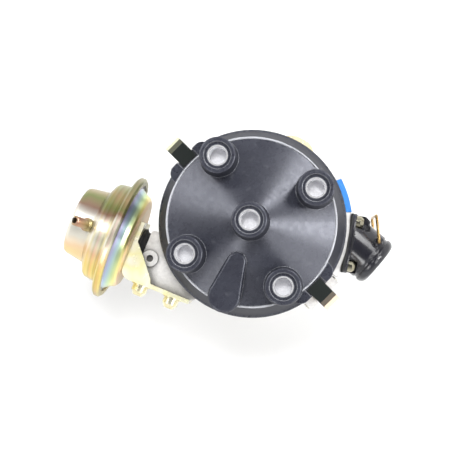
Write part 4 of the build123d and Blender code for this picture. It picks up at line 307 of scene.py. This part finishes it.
def passivated(name, colours=yellow_film, stops=None, way=UP, bands=60.0, start=0.0, drift=0.5, patch=30,
               turn=0.5, rough=(0.2, 0.3), metallic=0.55, rim=0.25, stained=0.3, burnt_top=False,
               rings=False):
    """Yellow-passivated zinc.

    Its thin-film colours repeat in bands along a direction, or run over the piece once where stops are given.
    They drift in patches and turn with the angle of view. The share given for grazing angles paints shade
    on the zinc there, and the stained share darkens it in spots. A dark top where it lies level is a
    painted reflection of the dark above it.
    """
    made, tree, shader = new_material(name)
    facing = add(tree, "ShaderNodeLayerWeight", [("Blend", 0.4)]).outputs["Facing"]
    phase = maths(tree, "MULTIPLY_ADD", facing, turn, start)
    phase = maths(tree, "MULTIPLY_ADD", along(tree, way), bands, phase)
    phase = maths(tree, "MULTIPLY_ADD", noise(tree, patch, detail=2.0, rough=0.4), drift, phase)
    if not stops:
        stops = [(place / (len(colours) - 1), colour) for place, colour in enumerate(colours)]
        phase = maths(tree, "FRACT", phase)
    tint = ramp(tree, phase, stops)
    if rings:
        tint = drawn_rings(tree, tint)
    spots = product(tree, step(tree, noise(tree, 160, detail=5.0), 0.62, 0.80), stained)
    # darkens the zinc where it is seen at grazing angles: painted shade
    grazing = product(tree, step(tree, facing, 0.55, 0.95), rim)
    body = blend(tree, maths(tree, "MAXIMUM", spots, grazing), tint, STAIN_AND_SHADE)
    shader.inputs["Metallic"].default_value = metallic
    # a level top turns dark and less metallic: painted reflection of the dark above
    if burnt_top:
        top = step(tree, upward(tree), 0.75, 0.92)
        body = blend(tree, top, body, DARK_TOP_PAINT)
        metal = maths(tree, "MULTIPLY_ADD", top, -DARK_TOP_METAL_LOSS * metallic, metallic)
        tree.links.new(metal, shader.inputs["Metallic"])
    tree.links.new(body, shader.inputs["Base Color"])
    tree.links.new(mottle(tree, 240, *rough), shader.inputs["Roughness"])
    relief(tree, shader, grain=900, depth=0.000004, edge=0.0002)
    return made


SCUFF_AND_HIGHLIGHT = (0.46, 0.47, 0.50)  # the cap's moulding where it is scuffed pale, also the colour of its painted highlights
BEAD_HIGHLIGHT = 0.90              # share of that colour on the bead, as a painted highlight,
SCUFF_WEAR = 0.05             # in the scuffs
EDGE_HIGHLIGHT = 0.50              # and on the edges, as painted highlights


def moulded_cap():
    """Bluish dark moulding: polished dome, matt skirt, painted highlight on the rim bead, fine scuffs and
    painted highlights along edges.
    """
    made, tree, shader = new_material("cap_moulding")
    facing_up = upward(tree)
    radius = shaft_radius(tree)
    past_inner = step(tree, radius, BEAD_INNER - BEAD_BLUR, BEAD_INNER + BEAD_BLUR)
    past_outer = step(tree, radius, BEAD_OUTER - BEAD_BLUR, BEAD_OUTER + BEAD_BLUR)
    on_bead = product(tree, past_inner, opposite(tree, past_outer))
    above_bead = step(tree, along(tree, UP), BEAD_TOP + BEAD_BLUR, BEAD_TOP + 4 * BEAD_BLUR)
    level = step(tree, facing_up, 0.3, 0.8)
    # the level top of the rim bead is painted pale: painted highlight
    bead_highlight_mask = product(tree, product(tree, on_bead, level), opposite(tree, above_bead))
    scuffed = step(tree, noise(tree, 300, detail=6.0, stretch=(1, 1, 0.2)), 0.60, 0.72)
    scuffs_and_highlights = maths(tree, "MAXIMUM", product(tree, bead_highlight_mask, BEAD_HIGHLIGHT), product(tree, scuffed, SCUFF_WEAR))
    # sharp edges are painted pale: painted highlights
    scuffs_and_highlights = maths(tree, "MAXIMUM", scuffs_and_highlights, product(tree, sharp_edge_mask(tree, 0.0005), EDGE_HIGHLIGHT))
    body = mottle(tree, 90, (0.024, 0.025, 0.034), (0.034, 0.036, 0.047))
    tree.links.new(blend(tree, scuffs_and_highlights, body, SCUFF_AND_HIGHLIGHT), shader.inputs["Base Color"])
    dome = step(tree, facing_up, 0.25, 0.6)
    tree.links.new(blend(tree, dome, grey(0.55), mottle(tree, 400, 0.24, 0.32)), shader.inputs["Roughness"])
    tree.links.new(maths(tree, "MULTIPLY_ADD", dome, 0.50, 0.20), shader.inputs["Specular IOR Level"])
    shader.inputs["Specular Tint"].default_value = (0.88, 0.90, 1.0, 1)
    relief(tree, shader, grain=700, depth=0.000002, edge=0.0004)
    return made


def turned_cup(name, node):
    """Turned aluminium cup: pale bore with fine scratches, and a rim painted darker as shade."""
    made, tree, shader = new_material(name)
    change = extent(node, UP)[1] - CUP_WALL_SEEN
    inside = opposite(tree, step(tree, along(tree, UP), change - CUP_BLUR, change + CUP_BLUR))
    bore = mottle(tree, 1500, (0.74, 0.74, 0.76), (0.95, 0.95, 0.97), detail=6.0)
    # the rim's top is painted far darker than the same metal in the bore: painted shade
    shaded_lip = mottle(tree, 900, (0.30, 0.30, 0.31), (0.42, 0.42, 0.43), limits=(0.35, 0.65))
    tree.links.new(blend(tree, inside, shaded_lip, bore), shader.inputs["Base Color"])
    tree.links.new(mottle(tree, 1200, 0.42, 0.54), shader.inputs["Roughness"])
    shader.inputs["Metallic"].default_value = 0.15
    relief(tree, shader, grain=900, depth=0.00001, edge=0.0002)
    return made


# ------------------------------------------------------------------ looks of the material slots
looks = {
    "cap_moulding": moulded_cap(),
    "zinc_yellow": passivated("zinc_yellow"),
    "connector_plastic": surface(
        "connector_plastic", (0.011, 0.011, 0.015), (0.019, 0.019, 0.025), (0.15, 0.22), scale=90,
        depth=0.0000005, edge=0.0014, specular=0.8),
    "black_plastic": surface(
        "black_plastic", (0.020, 0.020, 0.022), (0.035, 0.035, 0.037), (0.38, 0.5), edge=0.0003),
    "rubber": surface(
        "rubber", (0.012, 0.012, 0.013), (0.026, 0.026, 0.027), (0.55, 0.75), depth=0.00003, edge=0.0004),
    "cast_aluminium": surface(
        "cast_aluminium", (0.66, 0.65, 0.64), (0.84, 0.83, 0.82), (0.40, 0.55), 0.2, scale=420, grain=1500,
        depth=0.00005, edge=0.0005, corner_shade=0.8),
    "plated_steel": surface(
        "plated_steel", (0.58, 0.56, 0.48), (0.74, 0.72, 0.64), (0.24, 0.36), 1.0, edge=0.0002),
    "machined_steel": surface(
        "machined_steel", (0.42, 0.43, 0.45), (0.58, 0.59, 0.61), (0.22, 0.36), 1.0, stretch=(1, 1, 14),
        edge=0.0002),
    "spring_steel": surface("spring_steel", (0.40, 0.40, 0.41), (0.56, 0.56, 0.57), (0.22, 0.34), 1.0),
    "gear_iron": surface("gear_iron", (0.20, 0.20, 0.21), (0.33, 0.33, 0.34), (0.28, 0.42), 1.0, edge=0.0003),
    "bronze": surface("bronze", (0.42, 0.28, 0.13), (0.60, 0.43, 0.22), (0.34, 0.5), 1.0, edge=0.0002),
    "brass": surface("brass", (0.66, 0.50, 0.22), (0.80, 0.63, 0.31), (0.22, 0.34), 1.0, edge=0.0002),
    "copper_wire": surface("copper_wire", (0.40, 0.25, 0.09), (0.62, 0.42, 0.18), (0.2, 0.34), 1.0),
    "carbon": surface("carbon", (0.015, 0.015, 0.015), (0.035, 0.035, 0.035), (0.5, 0.65)),
    "coil_bobbin": surface("coil_bobbin", (0.20, 0.07, 0.03), (0.36, 0.15, 0.06), (0.3, 0.45), edge=0.0002),
    "magnet": surface("magnet", (0.06, 0.06, 0.065), (0.10, 0.10, 0.11), (0.45, 0.6)),
    "blue_plate": surface(
        "blue_plate", (0.005, 0.15, 0.52), (0.010, 0.20, 0.62), (0.45, 0.55), edge=0.0001, specular=0.2),
}

# ------------------------------------------------------------------ looks of single nodes
INNER_BANDS = 80.0           # film colours repeat this often per metre on the canister's inner shell
PLAIN_BANDS = 4.0            # and on the nearly plain pieces
inner_reach = extent("vacuum_inner_shell", vacuum_way)[1]
can_bands, can_start = spread_over("vacuum_outer_shell", can_across)
nipple_bands, nipple_start = spread_over("hose_nipple", vacuum_way)


def plain_zinc(name, colours, **settings):
    """Zinc with hardly any bands, only patches."""
    return passivated(name, colours=colours, bands=PLAIN_BANDS, **settings)


def clip_zinc(name, colours):
    """Sprung clip, pale at its sides, with a painted dark reflection on its level top."""
    return plain_zinc(name, colours, drift=0.3, patch=60, rough=(0.10, 0.16), metallic=0.4, burnt_top=True)


screw_zinc = plain_zinc("screw_zinc", pale_film, start=0.2, patch=120, metallic=0.7, rim=0.9, stained=0.0)
special = {
    "outer_terminals": turned_cup("outer_cups", "outer_terminals"),
    "centre_terminal": turned_cup("centre_cup", "centre_terminal"),
    "mounting_plate": plain_zinc(
        "plate_zinc", plate_film, start=0.1, drift=0.9, patch=60, metallic=0.35, stained=0.0),
    "vacuum_outer_shell": passivated(
        "can_outer", stops=shell_film_and_light_stops, way=can_across, bands=can_bands, start=can_start - 0.1, drift=0.2,
        patch=70, turn=0.0, rough=(0.28, 0.36), metallic=0.85, rim=0.6, rings=True),
    "vacuum_inner_shell": passivated(
        "can_inner", rainbow_film, way=vacuum_way, bands=-INNER_BANDS, start=INNER_BANDS * inner_reach,
        drift=0.25, patch=22, turn=0.2, rough=(0.28, 0.36), metallic=0.9, rim=0.5),
    "hose_nipple": passivated(
        "nipple_zinc", stops=nipple_film_and_highlight_stops, way=vacuum_way, bands=nipple_bands, start=nipple_start - 0.05,
        drift=0.1, patch=60, turn=0.0, rough=(0.26, 0.34), metallic=0.9),
    "vacuum_bracket": plain_zinc(
        "bracket_zinc", pale_film, start=0.1, drift=1.6, patch=90, metallic=0.25, stained=0.0),
    "bracket_screws": screw_zinc,
    "bracket_washers": screw_zinc,
    # connector screws in darkened zinc: painted shade of their pockets
    "connector_screws": plain_zinc(
        "small_screw_zinc_shaded", shaded_screw_film, start=0.2, patch=120, rough=(0.2, 0.3), metallic=1.0),
    # upper-left clip: the darker, painted-shade copy of the clips' zinc; lower-right clip: the lit copy
    "clip_upper_left": clip_zinc("clip_zinc", shaded_clip_film),
    "clip_lower_right": clip_zinc("clip_zinc_lit", lit_clip_film),
}
slots = {entry["node"]: entry["material_slot"] for entry in frame["record"]["subparts"]}
for node, thing in nodes.items():
    thing.data.materials.clear()
    thing.data.materials.append(special.get(node) or looks[slots[node]])

# ------------------------------------------------------------------ floor
FLOOR_SIZE = 6
SHADOW_RADIUS = 0.07         # up to here the floor is nearly all lit paper, and keeps the shadow
WHITE_RADIUS = 0.30          # from here on it is plain white
PAPER_GLOW = 0.10            # share of plain white in the shadow's place

bpy.ops.mesh.primitive_plane_add(size=FLOOR_SIZE, location=(0, 0, cad_box[0].z))
floor = bpy.context.object
floor.name = "floor"
paper, tree, shader = new_material("floor_paper")
shader.inputs["Base Color"].default_value = (0.86, 0.86, 0.86, 1)
shader.inputs["Roughness"].default_value = 0.9


def seen_share(tree, share):
    """Share that counts for camera, glossy and transmission rays."""
    rays = tree.nodes.new("ShaderNodeLightPath")
    both = maths(tree, "MAXIMUM", rays.outputs["Is Camera Ray"], rays.outputs["Is Glossy Ray"])
    return product(tree, maths(tree, "MAXIMUM", both, rays.outputs["Is Transmission Ray"]), share)


glow = add(tree, "ShaderNodeEmission", [("Color", (1, 1, 1, 1)), ("Strength", 1.0)])
sheet = tree.nodes.new("ShaderNodeMixShader")
output = next(node for node in tree.nodes if node.type == "OUTPUT_MATERIAL")
white = add(tree, "ShaderNodeMapRange", [
    ("From Min", SHADOW_RADIUS), ("From Max", WHITE_RADIUS), ("To Min", PAPER_GLOW), ("To Max", 1.0)])
tree.links.new(shaft_radius(tree), white.inputs["Value"])
tree.links.new(seen_share(tree, white.outputs["Result"]), sheet.inputs["Fac"])
tree.links.new(shader.outputs["BSDF"], sheet.inputs[1])
tree.links.new(glow.outputs["Emission"], sheet.inputs[2])
tree.links.new(sheet.outputs["Shader"], output.inputs["Surface"])
floor.data.materials.append(paper)

# ------------------------------------------------------------------ room
# white walls, a grey ceiling and a dark patch straight above
world = bpy.data.worlds.new("studio")
bpy.context.scene.world = world
world.use_nodes = True
tree = world.node_tree
sky = tree.nodes.new("ShaderNodeSeparateXYZ")
tree.links.new(tree.nodes.new("ShaderNodeTexCoord").outputs["Generated"], sky.inputs["Vector"])
room = ramp(tree, sky.outputs["Z"], [
    (0.00, grey(1.0)), (0.34, grey(1.0)), (0.46, grey(0.50)), (0.70, grey(0.48)), (0.86, grey(0.22)),
    (0.955, grey(0.14)), (0.985, grey(0.012))])
tree.links.new(room, tree.nodes["Background"].inputs["Color"])
tree.nodes["Background"].inputs["Strength"].default_value = 1.0

# ------------------------------------------------------------------ lamps
LAMP_AIM = Vector((0, 0, 0.05))
LEAN = 42                    # of the softboxes round the object, degrees from the vertical
REACH = 0.9                  # their distance
softboxes = (                # azimuth in degrees, size in metres, power in watts
    ("light_right", 357, (0.16, 0.40), 3.6),
    ("light_upper_right", 50, (0.12, 0.40), 2.6),
    ("light_lower_right", 324, (0.20, 0.40), 1.2),
    ("light_upper_left", 148, (0.34, 0.40), 2.4),
    ("light_lower_left", 238, (0.20, 0.35), 1.5),
)


def softbox(name, azimuth, size, power, lean=LEAN, distance=REACH):
    """Area lamp at an azimuth, leaning from the vertical, that looks at the cap."""
    lamp = bpy.data.lights.new(name, "AREA")
    lamp.shape = "RECTANGLE"
    lamp.size, lamp.size_y = size
    lamp.energy = power
    holder = bpy.data.objects.new(name, lamp)
    bpy.context.scene.collection.objects.link(holder)
    way = heading(azimuth) * math.sin(math.radians(lean)) + UP * math.cos(math.radians(lean))
    holder.location = LAMP_AIM + way * distance
    holder.rotation_euler = (-way).to_track_quat("-Z", "Y").to_euler()
    return holder


for name, azimuth, size, power in softboxes:
    softbox(name, azimuth, size, power)
above = softbox("light_above", 88, (0.20, 0.20), 6.5, lean=15, distance=1.0)
above.visible_glossy = False

# ------------------------------------------------------------------ camera, in metres and millimetres
VIEW_BACK = Vector((-0.0516, 0.0363, 0.998))     # from the cap to the camera, read from the parallax
EYE_DISTANCE = 0.5
SEEN_POINT = Vector((0, 0, 0.087))               # on the shaft's axis, near the towers' tops
SEEN_RIGHT = 0.01098                             # where the view shows that point, from its middle
SEEN_UP = 0.00192
LENS = 91.44                                     # millimetres, as the sensor's width
SENSOR = 36
NEAREST = 0.01                                   # nothing nearer to the camera is shown

back = VIEW_BACK.normalized()
right = (Vector((1, 0, 0)) - back * back.x).normalized()
axes = Matrix((right, back.cross(right), back))
eye = SEEN_POINT - axes @ Vector((SEEN_RIGHT, SEEN_UP, -EYE_DISTANCE))
camera = bpy.data.objects.new("camera", bpy.data.cameras.new("camera"))
bpy.context.scene.collection.objects.link(camera)
camera.data.lens = LENS
camera.data.sensor_width = SENSOR
camera.data.clip_start = NEAREST
camera.matrix_world = Matrix.Translation(eye) @ axes.to_4x4()
bpy.context.scene.camera = camera
bpy.context.scene.view_settings.view_transform = "Standard"
